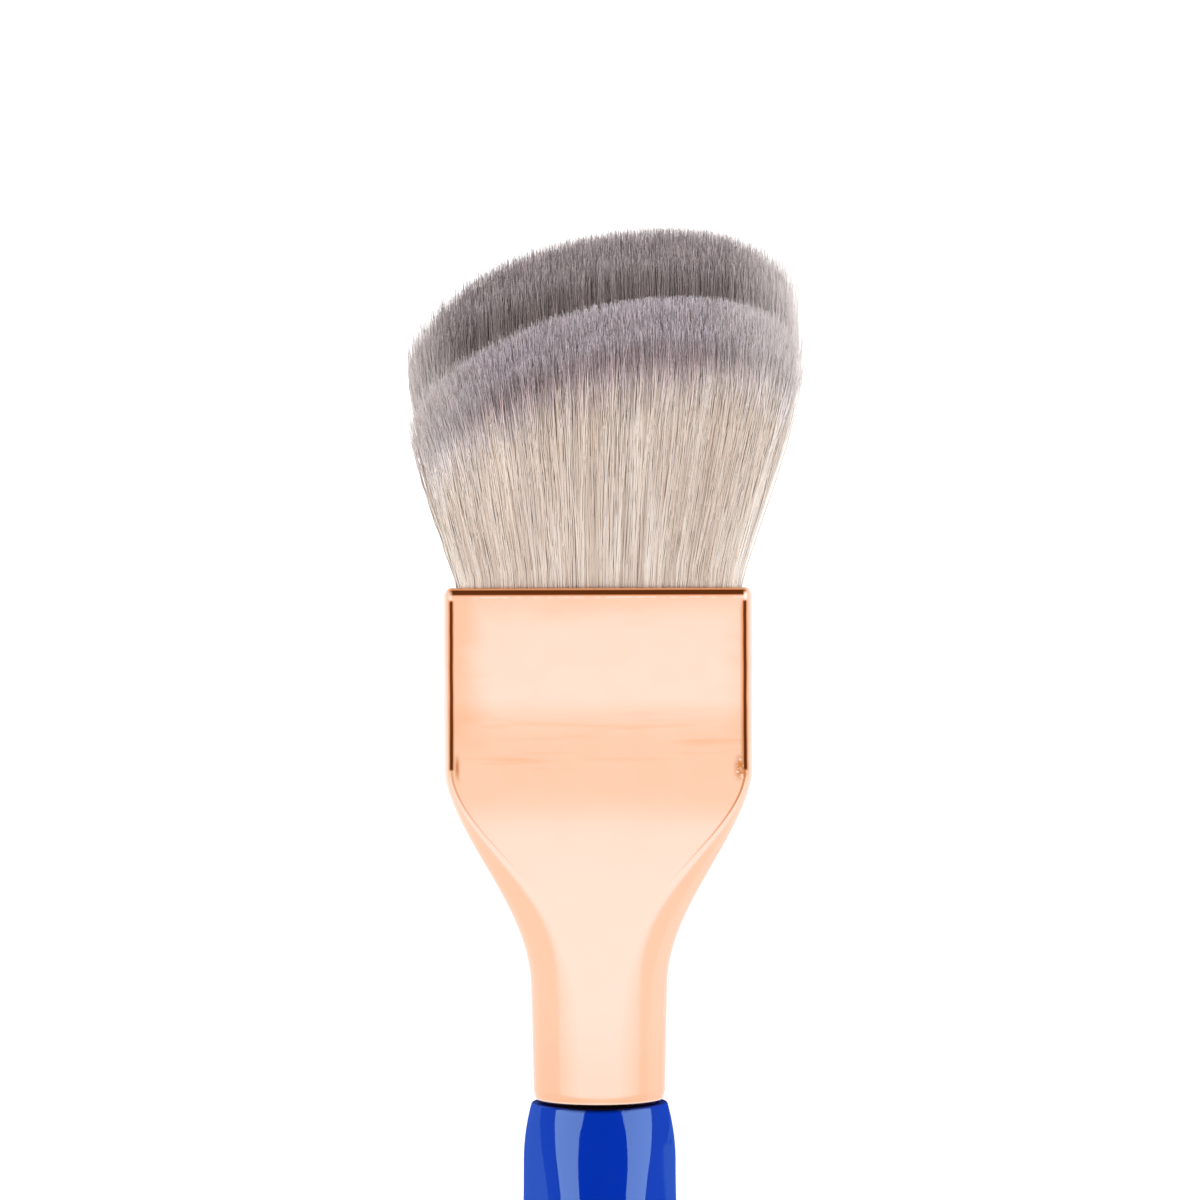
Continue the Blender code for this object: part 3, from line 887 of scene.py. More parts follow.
def store_floats(mesh: bpy.types.Mesh, name: str, values: list[float]) -> None:
    """Stores one number a vertex under a name that materials read."""
    layer = mesh.attributes.new(name, "FLOAT", "POINT")
    layer.data.foreach_set("value", values)


def settle(obj: bpy.types.Object, slot: str, *nodes: str) -> bpy.types.Object:
    """Hands a finished piece to the frame: its body and the solids it stands for.

    Args:
        obj: The finished piece.
        slot: The record's material slot; not used.
        *nodes: The solids that it stands for.

    Returns:
        The same piece.
    """
    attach(obj, BODY)
    if nodes:
        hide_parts(*nodes)
    LOG.info("piece %s: %d faces, stands for %s", obj.name, len(obj.data.polygons), nodes)
    return obj


@dataclass
class Ferrule:
    """The seamless plated shell: flat panels with tight folds, barrelled sides and a round neck."""

    frame: BrushFrame
    finish: bpy.types.Material
    wall: float = 0.4 * MM
    mouth_depth: float = 9.4 * MM
    fold_radius: float = 0.42 * MM
    side_bulge: float = 0.30 * MM
    crown: float = 0.16 * MM
    flat_length: float = 14.2 * MM
    shoulder_length: float = 16.8 * MM
    rounding_length: float = 21.0 * MM
    swell_start: float = 8.4 * MM
    swell_length: float = 10.6 * MM
    neck_radius: float = 5.3 * MM
    neck_end_radius: float = 5.1 * MM
    lip_inset: float = 0.16 * MM
    lip_length: float = 0.55 * MM
    rim_inset: float = 0.16 * MM
    rim_length: float = 0.9 * MM
    fold_weight: float = 3.0 * MM
    fold_power: float = 1.2
    least_fold: float = 0.06 * MM
    shoulder_power: float = 0.85
    rounded_share: float = 0.6
    quarter_points: int = 84
    lip_steps: int = 8

    @property
    def neck_start(self) -> float:
        """How far behind the mouth the round neck starts."""
        return self.flat_length + self.shoulder_length

    def half_width(self, place: float) -> float:
        """Works out half the width.

        Args:
            place: How far behind the mouth.

        Returns:
            Half the width there.
        """
        if place >= self.neck_start:
            share = (place - self.neck_start) / (self.frame.ferrule_length - self.neck_start)
            return blend(self.neck_radius, self.neck_end_radius, share)
        along = max(place - self.flat_length, 0.0) / self.shoulder_length
        return blend(self.frame.mouth_half_width, self.neck_radius, smoothstep(along**self.shoulder_power))

    def half_depth(self, place: float) -> float:
        """Works out half the depth, which swells from the flat mouth to the neck.

        Args:
            place: How far behind the mouth.

        Returns:
            Half the depth there.
        """
        if place >= self.neck_start:
            return self.half_width(place)
        share = smoothstep((place - self.swell_start) / self.swell_length)
        return blend(self.mouth_depth / 2.0, self.neck_radius, share)

    def fold(self, place: float) -> float:
        """Returns the radius of the long folds, which open out into the round neck."""
        share = smoothstep((place - self.flat_length) / self.rounding_length) ** self.fold_power
        return blend(self.fold_radius, self.half_width(place), share)

    def flatness(self, place: float) -> float:
        """Returns 1 on the flat mouth and 0 where the section is round."""
        return 1.0 - smoothstep((place - self.flat_length) / (self.rounded_share * self.shoulder_length))

    def quarter(self, place: float, inset: float) -> list[tuple[float, float, float]]:
        """Walks a quarter of the section, from the middle of a face to the middle of a side.

        Args:
            place: How far behind the mouth the section is.
            inset: How far it is drawn in.

        Returns:
            Points (across, deep, fold distance), the last measured from the face's edge.
        """
        bulge = self.side_bulge * self.flatness(place)
        crown = self.crown * self.flatness(place)
        half_width = self.half_width(place) - inset - bulge
        half_depth = self.half_depth(place) - inset
        radius = min(max(self.fold(place) - inset, self.least_fold), half_width, half_depth)
        face, side = half_width - radius, half_depth - radius
        bend = radius + self.fold_weight
        total = face + bend * math.pi / 2.0 + side
        points = []
        for step in range(self.quarter_points):
            walked = total * step / self.quarter_points
            if walked < face:
                across, deep = walked, half_depth
                along_fold = walked - face
            elif walked < face + bend * math.pi / 2.0:
                angle = (walked - face) / bend
                across = face + radius * math.sin(angle)
                deep = side + radius * math.cos(angle)
                along_fold = radius * angle
            else:
                across, deep = half_width, total - walked
                along_fold = walked - face - self.fold_weight * math.pi / 2.0
            across += bulge * (1.0 - (deep / half_depth) ** 2) * (across / half_width)
            deep += crown * (1.0 - (across / (half_width + bulge)) ** 2) - crown
            points.append((across, deep, along_fold))
        return points

    def ring(self, place: float, inset: float) -> tuple[Outline, list[float]]:
        """Mirrors a quarter section into a whole ring.

        Args:
            place: How far behind the mouth the ring is.
            inset: How far it is drawn in.

        Returns:
            The ring's points and their fold distances.
        """
        quarter = self.quarter(place, inset)
        side_middle = self.half_width(place) - inset, 0.0, quarter[-1][2]
        right = quarter + [side_middle] + [(x, -z, fold) for x, z, fold in reversed(quarter[1:])]
        left = [(-x, -z, fold) for x, z, fold in right[1:]]
        face_x, face_z, face_fold = quarter[0]
        whole = right + [(face_x, -face_z, face_fold)] + left
        y = self.frame.mouth.y - place
        return [(x, y, self.frame.mouth.z + z) for x, z, _ in whole], [fold for _, _, fold in whole]

    def edge_inset(self, place: float) -> float:
        """Works out how far the wall is drawn in at the lip and at the neck's rim.

        Args:
            place: How far behind the mouth.

        Returns:
            The inset there.
        """
        from_rim = place - self.frame.ferrule_length + self.rim_length
        lip = self.lip_inset * (1.0 - smoothstep(place / self.lip_length))
        return lip + self.rim_inset * smoothstep(from_rim / self.rim_length)

    def stations(self) -> list[tuple[float, float]]:
        """Lists the rings, down the outer wall and back up the inner one.

        Returns:
            How far behind the mouth each ring is, and how far it is drawn in.
        """
        length, half_wall = self.frame.ferrule_length, self.wall / 2.0
        outer = [half_wall, *spaced(half_wall, half_wall + self.lip_length, self.lip_steps)]
        for end, count in (
            (self.swell_start, 10),
            (self.neck_start, 64),
            (length - self.rim_length - half_wall, 14),
            (length - half_wall, 8),
        ):
            outer += spaced(outer[-1], end, count)
        turns = [math.pi * step / self.lip_steps for step in range(1, self.lip_steps)]
        rings = [(place, self.edge_inset(place)) for place in outer]
        for turn in turns:
            inset = half_wall * (1.0 - math.cos(turn)) + self.rim_inset
            rings.append((length - half_wall + half_wall * math.sin(turn), inset))
        rings += [(place, self.wall + self.edge_inset(place)) for place in reversed(outer[::3])]
        for turn in turns:
            inset = half_wall * (1.0 + math.cos(turn)) + self.lip_inset
            rings.append((half_wall - half_wall * math.sin(turn), inset))
        return rings

    def build(self) -> bpy.types.Object:
        """Builds and dresses the shell.

        Returns:
            The shell, handed to the frame.
        """
        rings, folds = [], []
        for place, inset in self.stations():
            points, fold = self.ring(place, inset)
            rings.append(points)
            folds += fold
        shell = mesh_object("ferrule_shell", rings, closed=True)
        store_floats(shell.data, "fold_distance", folds)
        shell.data.materials.append(self.finish)
        return settle(shell, "ferrule_metal", "ferrule")


@dataclass
class Handle:
    """The lacquered handle: round collar, rounded triangular grip, tapered tail and tenon."""

    frame: BrushFrame
    finish: bpy.types.Material
    collar_radius: float = 5.28 * MM
    collar_length: float = 4.7 * MM
    collar_half_width: float = 5.93 * MM
    edge_radius: float = 3.9 * MM
    grip_start: float = 31.0 * MM
    grip_flat: float = 18.0 * MM
    facet_runout: float = 22.0 * MM
    tail_half_width: float = 3.2 * MM
    tail_straightness: float = 0.35
    tail_rounding: float = 4.6 * MM
    shoulder_rounding: float = 0.14 * MM
    tenon_radius: float = 4.4 * MM
    corner_weight: float = 2.0 * MM
    third_points: int = 48

    @property
    def grip_side(self) -> float:
        """The side of the grip's inner triangle."""
        return 2.0 * (self.frame.grip_half_width - self.edge_radius)

    def half_width(self, place: float) -> float:
        """Works out half the width of the collar, the grip and the tail.

        Args:
            place: How far behind the shoulder.

        Returns:
            Half the width there.
        """
        grip_end = self.grip_start + self.grip_flat
        if place <= self.collar_length:
            share = 1.0 - (1.0 - place / self.collar_length) ** 2
            return blend(self.collar_radius, self.collar_half_width, share)
        if place <= grip_end:
            share = smoothstep((place - self.collar_length) / (self.grip_start - self.collar_length))
            return blend(self.collar_half_width, self.frame.grip_half_width, share)
        along = (place - grip_end) / (self.frame.handle_length - grip_end)
        share = blend(smoothstep(along), along, self.tail_straightness)
        return blend(self.frame.grip_half_width, self.tail_half_width, share)

    def side(self, place: float) -> float:
        """Works out the side of the section's inner triangle, nothing at the round shoulder.

        Args:
            place: How far behind the shoulder.

        Returns:
            The side there.
        """
        growth = 1.0 - (1.0 - min(place / self.facet_runout, 1.0)) ** 2
        shrink = min(self.half_width(place) / self.frame.grip_half_width, 1.0)
        return self.grip_side * growth * shrink

    def ring(self, place: float, half_width: float, side: float) -> Outline:
        """Walks round a rounded triangle whose ridge is up.

        Args:
            place: How far behind the shoulder the ring is.
            half_width: Half the section's width.
            side: The side of its inner triangle, 0 for a circle.

        Returns:
            The ring's points.
        """
        radius = half_width - side / 2.0
        reach = side / math.sqrt(3.0)
        sweep = math.tau / 3.0
        bend = radius + self.corner_weight
        total = side + bend * sweep
        y = self.frame.shoulder_y - place
        points = []
        for corner in range(3):
            middle = math.pi / 2.0 + sweep * corner
            centre_x, centre_z = reach * math.cos(middle), reach * math.sin(middle)
            for step in range(self.third_points):
                walked = total * (step + 0.5) / self.third_points - side / 2.0
                angle = middle - sweep / 2.0 + min(max(walked / bend, 0.0), sweep)
                x = centre_x + radius * math.cos(angle)
                z = centre_z + radius * math.sin(angle)
                beyond = min(walked, 0.0) + max(walked - bend * sweep, 0.0)
                x -= beyond * math.sin(angle)
                z += beyond * math.cos(angle)
                points.append((x, y, self.frame.mouth.z + z))
        return points

    def build(self) -> bpy.types.Object:
        """Builds and dresses the handle.

        Returns:
            The handle, handed to the frame.
        """
        rings = [
            self.ring(-self.frame.tenon_length, self.tenon_radius, 0.0),
            self.ring(0.0, self.tenon_radius, 0.0),
        ]
        for step in range(9):
            turn = math.pi / 2.0 * step / 8
            place = self.shoulder_rounding * (1.0 - math.cos(turn))
            draw_in = self.shoulder_rounding * (1.0 - math.sin(turn))
            rings.append(self.ring(place, self.half_width(place) - draw_in, self.side(place)))
        tail_start = self.frame.handle_length - self.tail_rounding
        places = spaced(self.shoulder_rounding, self.grip_start, 50)
        places += spaced(self.grip_start, self.grip_start + self.grip_flat, 8)
        places += spaced(places[-1], tail_start, 44)
        rings += [self.ring(place, self.half_width(place), self.side(place)) for place in places]
        for step in range(1, 20):
            turn = math.pi / 2.0 * step / 20
            place = tail_start + self.tail_rounding * math.sin(turn)
            shrink = math.cos(turn)
            rings.append(self.ring(place, self.half_width(place) * shrink, self.side(place) * shrink))
        handle = mesh_object("lacquered_handle", rings, closed=False)
        handle.data.materials.append(self.finish)
        return settle(handle, "handle_lacquer", "handle")


@dataclass(frozen=True)
class KnotShape:
    """The sizes that set one bristle knot apart from the other."""

    side: Side
    reach: float
    slant: float
    rise: float
    dome_power: float
    flared_outer: float
    flare_left: float
    flare_right: float
    crest: float
    fall: float
    layer_edges: tuple[float, ...]

    def base(self) -> float:
        """Works out where the dome starts, so that its crown stands at the reach.

        Returns:
            The height of its base over the mouth.
        """
        crown = max(
            self.slant * step / 100.0
            + self.rise * math.sqrt(1.0 - abs(step / 100.0) ** self.dome_power)
            for step in range(-100, 101)
        )
        return self.reach - crown


class BristleTree:
    """The Geometry Nodes tree that grows filaments between the ferrule and the domed tips.

    Each filament carries where it is rooted, across from side to side and deep from the inner to
    the outer face, and its points carry how far along it they are.
    """

    WIDEST = 1.04
    ROOTED = 0.972
    OUTERMOST = (0.86, 0.97)
    OPENING_POWER = 1.1
    SHORT_POWER = 1.5
    LOOSE_POWER = 12.0
    BUNDLES = (42.0, 4.0)
    CELLS = (5.0, 2.4)
    SWAYS = (14.0, 1.5)
    WAVES = 12.0
    TAPER_START = 0.72
    TAPER = 0.8
    SIZES = (
        "Filament Radius", "Root Half Width", "Root Inner", "Root Outer", "Sink", "Flare Left",
        "Flare Right", "Left Height", "Right Height", "Flared Inner", "Flared Outer", "Dome Base",
        "Slant", "Rise", "Dome Power", "Crest", "Fall", "Unevenness", "Cross", "Stray", "Fuzz",
        "Clump", "Strands", "Strand Lean", "Sway", "Bow", "Wave", "Dye Shift", "Side",
        "Layer Start", "Layer End",
    )
    DRAWS = (
        ("short", 0.0, 1.0),
        ("lean_across", -1.0, 1.0),
        ("lean_deep", -1.0, 1.0),
        ("tone", 0.0, 1.0),
        ("tint", 0.0, 1.0),
        ("hue", 0.0, 1.0),
        ("dye_shift", -1.2 * MM, 1.2 * MM),
        ("loose", 0.0, 1.0),
        ("bow", -1.0, 1.0),
        ("phase", 0.0, math.tau),
    )

    def __init__(self, segments: int = 6) -> None:
        """Builds the tree.

        Args:
            segments: How many lengths a filament is bent into.
        """
        self.tree = bpy.data.node_groups.new("bristle_knot", "GeometryNodeTree")
        self.graph = Graph(self.tree)
        kinds = {"Filaments": "Int", "Seed": "Int", **dict.fromkeys(self.SIZES, "Float")}
        for name, kind in {**kinds, "Mouth": "Vector", "Finish": "Material"}.items():
            self.tree.interface.new_socket(name, in_out="INPUT", socket_type=f"NodeSocket{kind}")
        self.tree.interface.new_socket("Geometry", in_out="OUTPUT", socket_type="NodeSocketGeometry")
        self.given = self.graph.add("NodeGroupInput").outputs
        self.along, self.across, self.deep = (self.named(name) for name in ("along", "across", "deep"))
        self.on_right = self.graph.math("GREATER_THAN", self.across, 0.0)
        self.segments = segments
        self.grow()

    def random(self, low: object, high: object, offset: int) -> Socket:
        """Returns one random number a filament, drawn from its own stream.

        Args:
            low: The least value.
            high: The greatest value.
            offset: Which stream, so that no two draws agree.

        Returns:
            The number's socket.
        """
        seed = self.graph.math("ADD", self.given["Seed"], float(offset))
        node = self.graph.add("FunctionNodeRandomValue", data_type="FLOAT")
        for name, value in (("Min", low), ("Max", high), ("Seed", seed)):
            self.graph.feed(self.graph.pick(node.inputs, name), value)
        return self.graph.pick(node.outputs, "Value")

    def store(self, geometry: object, name: str, value: object) -> Socket:
        """Stores a number on every point under a name.

        Args:
            geometry: The geometry's socket.
            name: The name.
            value: The number or its socket.

        Returns:
            The geometry that carries it.
        """
        node = self.graph.add("GeometryNodeStoreNamedAttribute", data_type="FLOAT", domain="POINT")
        for key, fed in (("Geometry", geometry), ("Name", name), ("Value", value)):
            self.graph.feed(self.graph.pick(node.inputs, key), fed)
        return node.outputs["Geometry"]

    def named(self, name: str) -> Socket:
        """Reads a number stored under a name."""
        node = self.graph.add("GeometryNodeInputNamedAttribute", {"Name": name}, data_type="FLOAT")
        return self.graph.pick(node.outputs, "Attribute")

    def filament(self) -> Socket:
        """Makes the one straight filament that is repeated, with its ring places stored on it.

        Returns:
            The filament's mesh, of length and radius 1.
        """
        graph = self.graph
        rod = graph.add(
            "GeometryNodeMeshCylinder",
            {"Vertices": 3, "Side Segments": self.segments, "Radius": 1.0, "Depth": 1.0},
        )
        parts = graph.parts(graph.add("GeometryNodeInputPosition").outputs[0])
        shape = self.store(rod.outputs["Mesh"], "along", graph.math("ADD", parts["Z"], 0.5))
        return self.store(self.store(shape, "rim_x", parts["X"]), "rim_z", parts["Y"])

    def roots(self) -> Socket:
        """Scatters the filaments' roots and gives each its own lean, length and tone.

        Returns:
            The points that the filaments stand on.
        """
        graph, given = self.graph, self.given
        cloud = graph.add("GeometryNodePoints", {"Count": given["Filaments"]}).outputs[0]
        rooted = (("across", -self.ROOTED, self.ROOTED), ("deep", given["Layer Start"], given["Layer End"]))
        for stream, (name, low, high) in enumerate(rooted + self.DRAWS):
            cloud = self.store(cloud, name, self.random(low, high, stream))
        return cloud

    def tip_height(self) -> Socket:
        """Works out where a filament ends: on the slanted dome, lower towards the outer face.

        Returns:
            The height of its tip over the mouth.
        """
        graph, given = self.graph, self.given
        rounded = graph.math("POWER", graph.math("ABSOLUTE", self.across), given["Dome Power"])
        dome = graph.math("SQRT", graph.math("SUBTRACT", 1.0, rounded))
        height = graph.math("MULTIPLY_ADD", dome, given["Rise"], given["Dome Base"])
        height = graph.math("MULTIPLY_ADD", self.across, given["Slant"], height)
        crest = graph.math("SUBTRACT", graph.math("MULTIPLY_ADD", self.deep, 0.5, 0.5), given["Crest"])
        height = graph.math("SUBTRACT", height, graph.product(crest, crest, given["Fall"]))
        short = graph.math("POWER", self.named("short"), self.SHORT_POWER)
        return graph.math("SUBTRACT", height, graph.product(short, given["Unevenness"]))

    def opening(self, height: object) -> Socket:
        """Works out how far the knot has fanned out at a height.

        Args:
            height: The height over the mouth.

        Returns:
            The opening, from 0 at the mouth to 1 where the knot is widest.
        """
        graph, given = self.graph, self.given
        full_height = graph.lerp(self.on_right, given["Left Height"], given["Right Height"])
        share = graph.math("DIVIDE", height, full_height, clamp=True)
        closed = graph.math("POWER", graph.math("SUBTRACT", 1.0, share), self.OPENING_POWER)
        return graph.math("SUBTRACT", 1.0, closed)

    def gather(self) -> tuple[Socket, Socket]:
        """Draws neighbouring filaments together into strands, most of all half way up.

        Returns:
            The place across, and a random number that a strand's filaments share.
        """
        graph, given = self.graph, self.given
        cells = graph.vector(
            graph.product(self.across, given["Strands"]),
            graph.product(self.deep, self.CELLS[0]),
            graph.product(self.along, self.CELLS[1]),
        )
        cells = {"Vector": cells, "Scale": 1.0, "Randomness": 1.0}
        strand = graph.add("ShaderNodeTexVoronoi", cells, feature="F1").outputs["Position"]
        centre = graph.math("DIVIDE", graph.parts(strand)["X"], given["Strands"])
        half_way = graph.math("SINE", graph.product(graph.math("POWER", self.along, 0.8), math.pi))
        pull = graph.product(half_way, given["Clump"])
        shared = graph.add("ShaderNodeTexWhiteNoise", {"Vector": strand})
        return graph.lerp(pull, self.across, centre), shared.outputs["Value"]

    def curl(self) -> Socket:
        """Works out the bow and the slight wave that each filament has of its own.

        Returns:
            How far it stands off its straight line.
        """
        graph = self.graph
        middle = graph.product(self.along, graph.math("SUBTRACT", 1.0, self.along))
        bow = graph.product(middle, self.named("bow"), self.given["Bow"])
        turn = graph.math("MULTIPLY_ADD", self.along, self.WAVES, self.named("phase"))
        wave = graph.product(graph.math("SINE", turn), self.given["Wave"])
        return graph.math("MULTIPLY_ADD", wave, self.along, bow)

    def lean(self, gathered: object, shared: object) -> Socket:
        """Adds up how far a filament strays from its strand, by itself and with its neighbours.

        Args:
            gathered: Its place across within its strand.
            shared: The noise that its neighbours share.

        Returns:
            The place across, 1 at the knot's side.
        """
        graph, given, along = self.graph, self.given, self.along
        bend, own = graph.math("POWER", along, 2.0), self.named("lean_across")
        stray = graph.product(bend, given["Stray"])
        leaning = graph.math("MULTIPLY_ADD", graph.math("POWER", own, 3.0), stray, gathered)
        sideways, lengthwise = self.SWAYS
        drift = graph.vector(
            graph.product(self.across, sideways), self.deep, graph.product(along, lengthwise)
        )
        sway = graph.math("SUBTRACT", graph.noise(drift, 1.0, detail=3.0), 0.5)
        leaning = graph.math("ADD", leaning, graph.product(sway, given["Sway"], along))
        leaning = graph.math("ADD", leaning, graph.product(own, given["Cross"], along))
        swing = graph.product(shared, given["Strand Lean"], along)
        leaning = graph.math("MULTIPLY_ADD", graph.math("SUBTRACT", 1.0, bend), swing, leaning)
        leaning = graph.math("ADD", leaning, self.curl())
        outermost = graph.between(graph.math("ABSOLUTE", self.across), *self.OUTERMOST)
        loose = graph.math("POWER", self.named("loose"), self.LOOSE_POWER)
        loose = graph.product(loose, given["Fuzz"], outermost, graph.math("SIGN", self.across))
        leaning = graph.math("MULTIPLY_ADD", loose, graph.math("POWER", along, 0.5), leaning)
        return graph.math("MINIMUM", graph.math("MAXIMUM", leaning, -self.WIDEST), self.WIDEST)

    def place(self, leaning: object, height: object) -> Socket:
        """Turns a filament's place in the knot into a position.

        Args:
            leaning: Its place across, 1 at the knot's side.
            height: The height over the mouth.

        Returns:
            The position of the filament's points.
        """
        graph, given = self.graph, self.given
        opening = self.opening(height)
        flare = graph.lerp(self.on_right, given["Flare Left"], given["Flare Right"])
        half_width = graph.math("MULTIPLY_ADD", opening, flare, given["Root Half Width"])
        inner = graph.lerp(opening, given["Root Inner"], given["Flared Inner"])
        outer = graph.lerp(opening, given["Root Outer"], given["Flared Outer"])
        crossing = graph.product(given["Cross"], self.along)
        sunk = graph.math("MULTIPLY_ADD", self.named("lean_deep"), crossing, self.deep)
        share = graph.math("MULTIPLY_ADD", sunk, 0.5, 0.5, clamp=True)
        taper = graph.product(graph.between(self.along, self.TAPER_START, 1.0), self.TAPER)
        taper = graph.math("SUBTRACT", 1.0, taper)
        radius = graph.product(taper, given["Filament Radius"])
        x = graph.math("MULTIPLY_ADD", self.named("rim_x"), radius, graph.product(leaning, half_width))
        z = graph.product(graph.lerp(share, inner, outer), given["Side"])
        z = graph.math("MULTIPLY_ADD", self.named("rim_z"), radius, z)
        inputs = {0: graph.vector(x, height, z), 1: given["Mouth"]}
        return graph.add("ShaderNodeVectorMath", inputs, operation="ADD").outputs[0]

    def grow(self) -> None:
        """Lays out the whole tree."""
        graph, given = self.graph, self.given
        scattered = graph.add(
            "GeometryNodeInstanceOnPoints", {"Points": self.roots(), "Instance": self.filament()}
        )
        grown = graph.add("GeometryNodeRealizeInstances", {"Geometry": scattered.outputs[0]})
        top = self.tip_height()
        height = graph.lerp(self.along, graph.product(given["Sink"], -1.0), top)
        bundle = graph.vector(
            graph.product(self.across, self.BUNDLES[0]), graph.product(self.deep, self.BUNDLES[1])
        )
        shared = graph.math("SUBTRACT", graph.noise(bundle, 1.0, detail=1.0), 0.5)
        gathered, strand_tone = self.gather()
        place = self.place(self.lean(gathered, shared), height)
        marked = grown.outputs[0]
        for name, value in (
            ("from_tip", graph.math("SUBTRACT", top, height)),
            ("dye_shift", graph.math("MULTIPLY_ADD", shared, given["Dye Shift"], self.named("dye_shift"))),
            ("own_tone", self.named("tone")),
            ("tone", graph.lerp(0.5, self.named("tone"), strand_tone)),
        ):
            marked = self.store(marked, name, value)
        for kind, inputs in (
            ("GeometryNodeSetPosition", {"Position": place}),
            ("GeometryNodeSetShadeSmooth", {}),
            ("GeometryNodeSetMaterial", {"Material": given["Finish"]}),
        ):
            marked = graph.add(kind, {"Geometry": marked, **inputs}).outputs[0]
        graph.add("NodeGroupOutput", {"Geometry": marked})

    def fill(self, modifier: bpy.types.NodesModifier, values: dict[str, object]) -> None:
        """Sets a modifier's inputs by their sockets' identifiers.

        Args:
            modifier: The Geometry Nodes modifier that runs this tree.
            values: The inputs by name, in small letters.
        """
        for item in self.tree.interface.items_tree:
            if item.in_out == "INPUT":
                modifier[item.identifier] = values[item.name.lower().replace(" ", "_")]


@dataclass
class BristleKnot:
    """One tier of bristles, grown in layers from its inner face to its outer one."""

    frame: BrushFrame
    tree: BristleTree
    shape: KnotShape
    finish: bpy.types.Material
    node: str
    slot: str
    seed: int
    layers: tuple[str, ...] = ("inner", "lower", "upper", "outer")
    filaments: int = 5200
    filament_radius: float = 0.055 * MM
    root_half_width: float = 10.95 * MM
    root_inner: float = 0.35 * MM
    root_outer: float = 4.05 * MM
    sink: float = 1.6 * MM
    left_height: float = 16.0 * MM
    right_height: float = 16.5 * MM
    flared_inner: float = 0.25 * MM
    unevenness: float = 1.25 * MM
    cross: float = 0.03
    stray: float = 0.06
    fuzz: float = 0.075
    clump: float = 0.35
    strands: float = 36.0
    strand_lean: float = 0.16
    sway: float = 0.07
    bow: float = 0.08
    wave: float = 0.010
    dye_shift: float = 5.0 * MM

    def sizes(self, layer: int) -> dict[str, object]:
        """Lists the tree's inputs for one layer.

        Args:
            layer: Which layer, counted outwards.

        Returns:
            The inputs by name, in small letters.
        """
        owners = (self.shape, self)
        values = {size.name: getattr(owner, size.name) for owner in owners for size in fields(owner)}
        values["layer_start"], values["layer_end"] = self.shape.layer_edges[layer : layer + 2]
        return values | {
            "side": self.shape.side.value,
            "dome_base": self.shape.base(),
            "mouth": self.frame.mouth,
            "seed": self.seed + 100 * layer,
        }

    def grow_layer(self, layer: int, name: str) -> bpy.types.Object:
        """Grows one layer and keeps it as a plain mesh.

        Args:
            layer: Which layer, counted outwards.
            name: The layer's name.

        Returns:
            The layer's object, at the origin.
        """
        seedling = bpy.data.objects.new("seedling", bpy.data.meshes.new("seedling"))
        bpy.context.scene.collection.objects.link(seedling)
        modifier = seedling.modifiers.new("bristles", "NODES")
        modifier.node_group = self.tree.tree
        self.tree.fill(modifier, self.sizes(layer))
        bpy.context.view_layer.update()
        graph = bpy.context.evaluated_depsgraph_get()
        mesh = bpy.data.meshes.new_from_object(seedling.evaluated_get(graph))
        bpy.data.objects.remove(seedling, do_unlink=True)
        mesh.name = f"{self.node}_{name}"
        layer_object = bpy.data.objects.new(mesh.name, mesh)
        bpy.context.scene.collection.objects.link(layer_object)
        return layer_object

    def build(self) -> list[bpy.types.Object]:
        """Grows every layer of the knot.

        Returns:
            The layers' objects, from the inner one outwards.
        """
        return [
            settle(self.grow_layer(index, name), self.slot, self.node)
            for index, name in enumerate(self.layers)
        ]


def plain_object(
    name: str, corners: list[Vector | tuple], faces: list[tuple[int, ...]], material: bpy.types.Material
) -> bpy.types.Object:
    """Makes a studio object out of corners and faces.

    Args:
        name: The object's name.
        corners: Its corners.
        faces: Its faces as corner numbers.
        material: What it is made of.

    Returns:
        The object, set aside from the product.
    """
    mesh = bpy.data.meshes.new(name)
    mesh.from_pydata(corners, [], faces)
    mesh.materials.append(material)
    obj = bpy.data.objects.new(name, mesh)
    bpy.context.scene.collection.objects.link(obj)
    return obj


def show_in_mirrors_only(obj: bpy.types.Object) -> None:
    """Hides an object from everything but glossy reflections."""
    for ray in ("camera", "diffuse", "transmission", "volume_scatter", "shadow"):
        setattr(obj, f"visible_{ray}", False)


ALONG_X, ALONG_Y, UP = Vector((1.0, 0.0, 0.0)), Vector((0.0, 1.0, 0.0)), Vector((0.0, 0.0, 1.0))
BOX: Colour = (3.1, 4.9, 4.6)
SHEEN: Colour = (0.2, 0.45, 0.1)
PETAL: Colour = (0.40, 0.78, 0.45)


@dataclass(frozen=True)
class EdgedBox:
    """A softbox beside the brush, whose lower edge bends along it.

    The edge is a run of points, each a distance along the brush from the mouth and an angle from
    straight up in degrees. The upper edge keeps one angle.
    """

    name: str
    side: float
    upper: float
    colour: Colour
    edge: tuple[tuple[float, float], ...]
    step: float = 1.1

    def strips(self) -> list[tuple[float, float, float]]:
        """Cuts the box into strips that follow its edge.

        Returns:
            Where each strip starts and ends along the brush, and the angle of its lower edge.
        """
        strips = []
        for (start, first), (end, last) in zip(self.edge, self.edge[1:]):
            count = max(1, math.ceil(abs(last - first) / self.step))
            half_step = (last - first) / count / 2.0
            places = [start, *spaced(start, end, count)]
            for number, angle in enumerate(spaced(first, last, count)):
                strips.append((places[number], places[number + 1], angle - half_step))
        return strips


@dataclass(frozen=True)
class LaidLamp:
    """A lamp on the floor, face up, given by the ends of its upper edge and its width below it."""

    name: str
    start: tuple[float, float]
    end: tuple[float, float]
    width: float
    colour: Colour


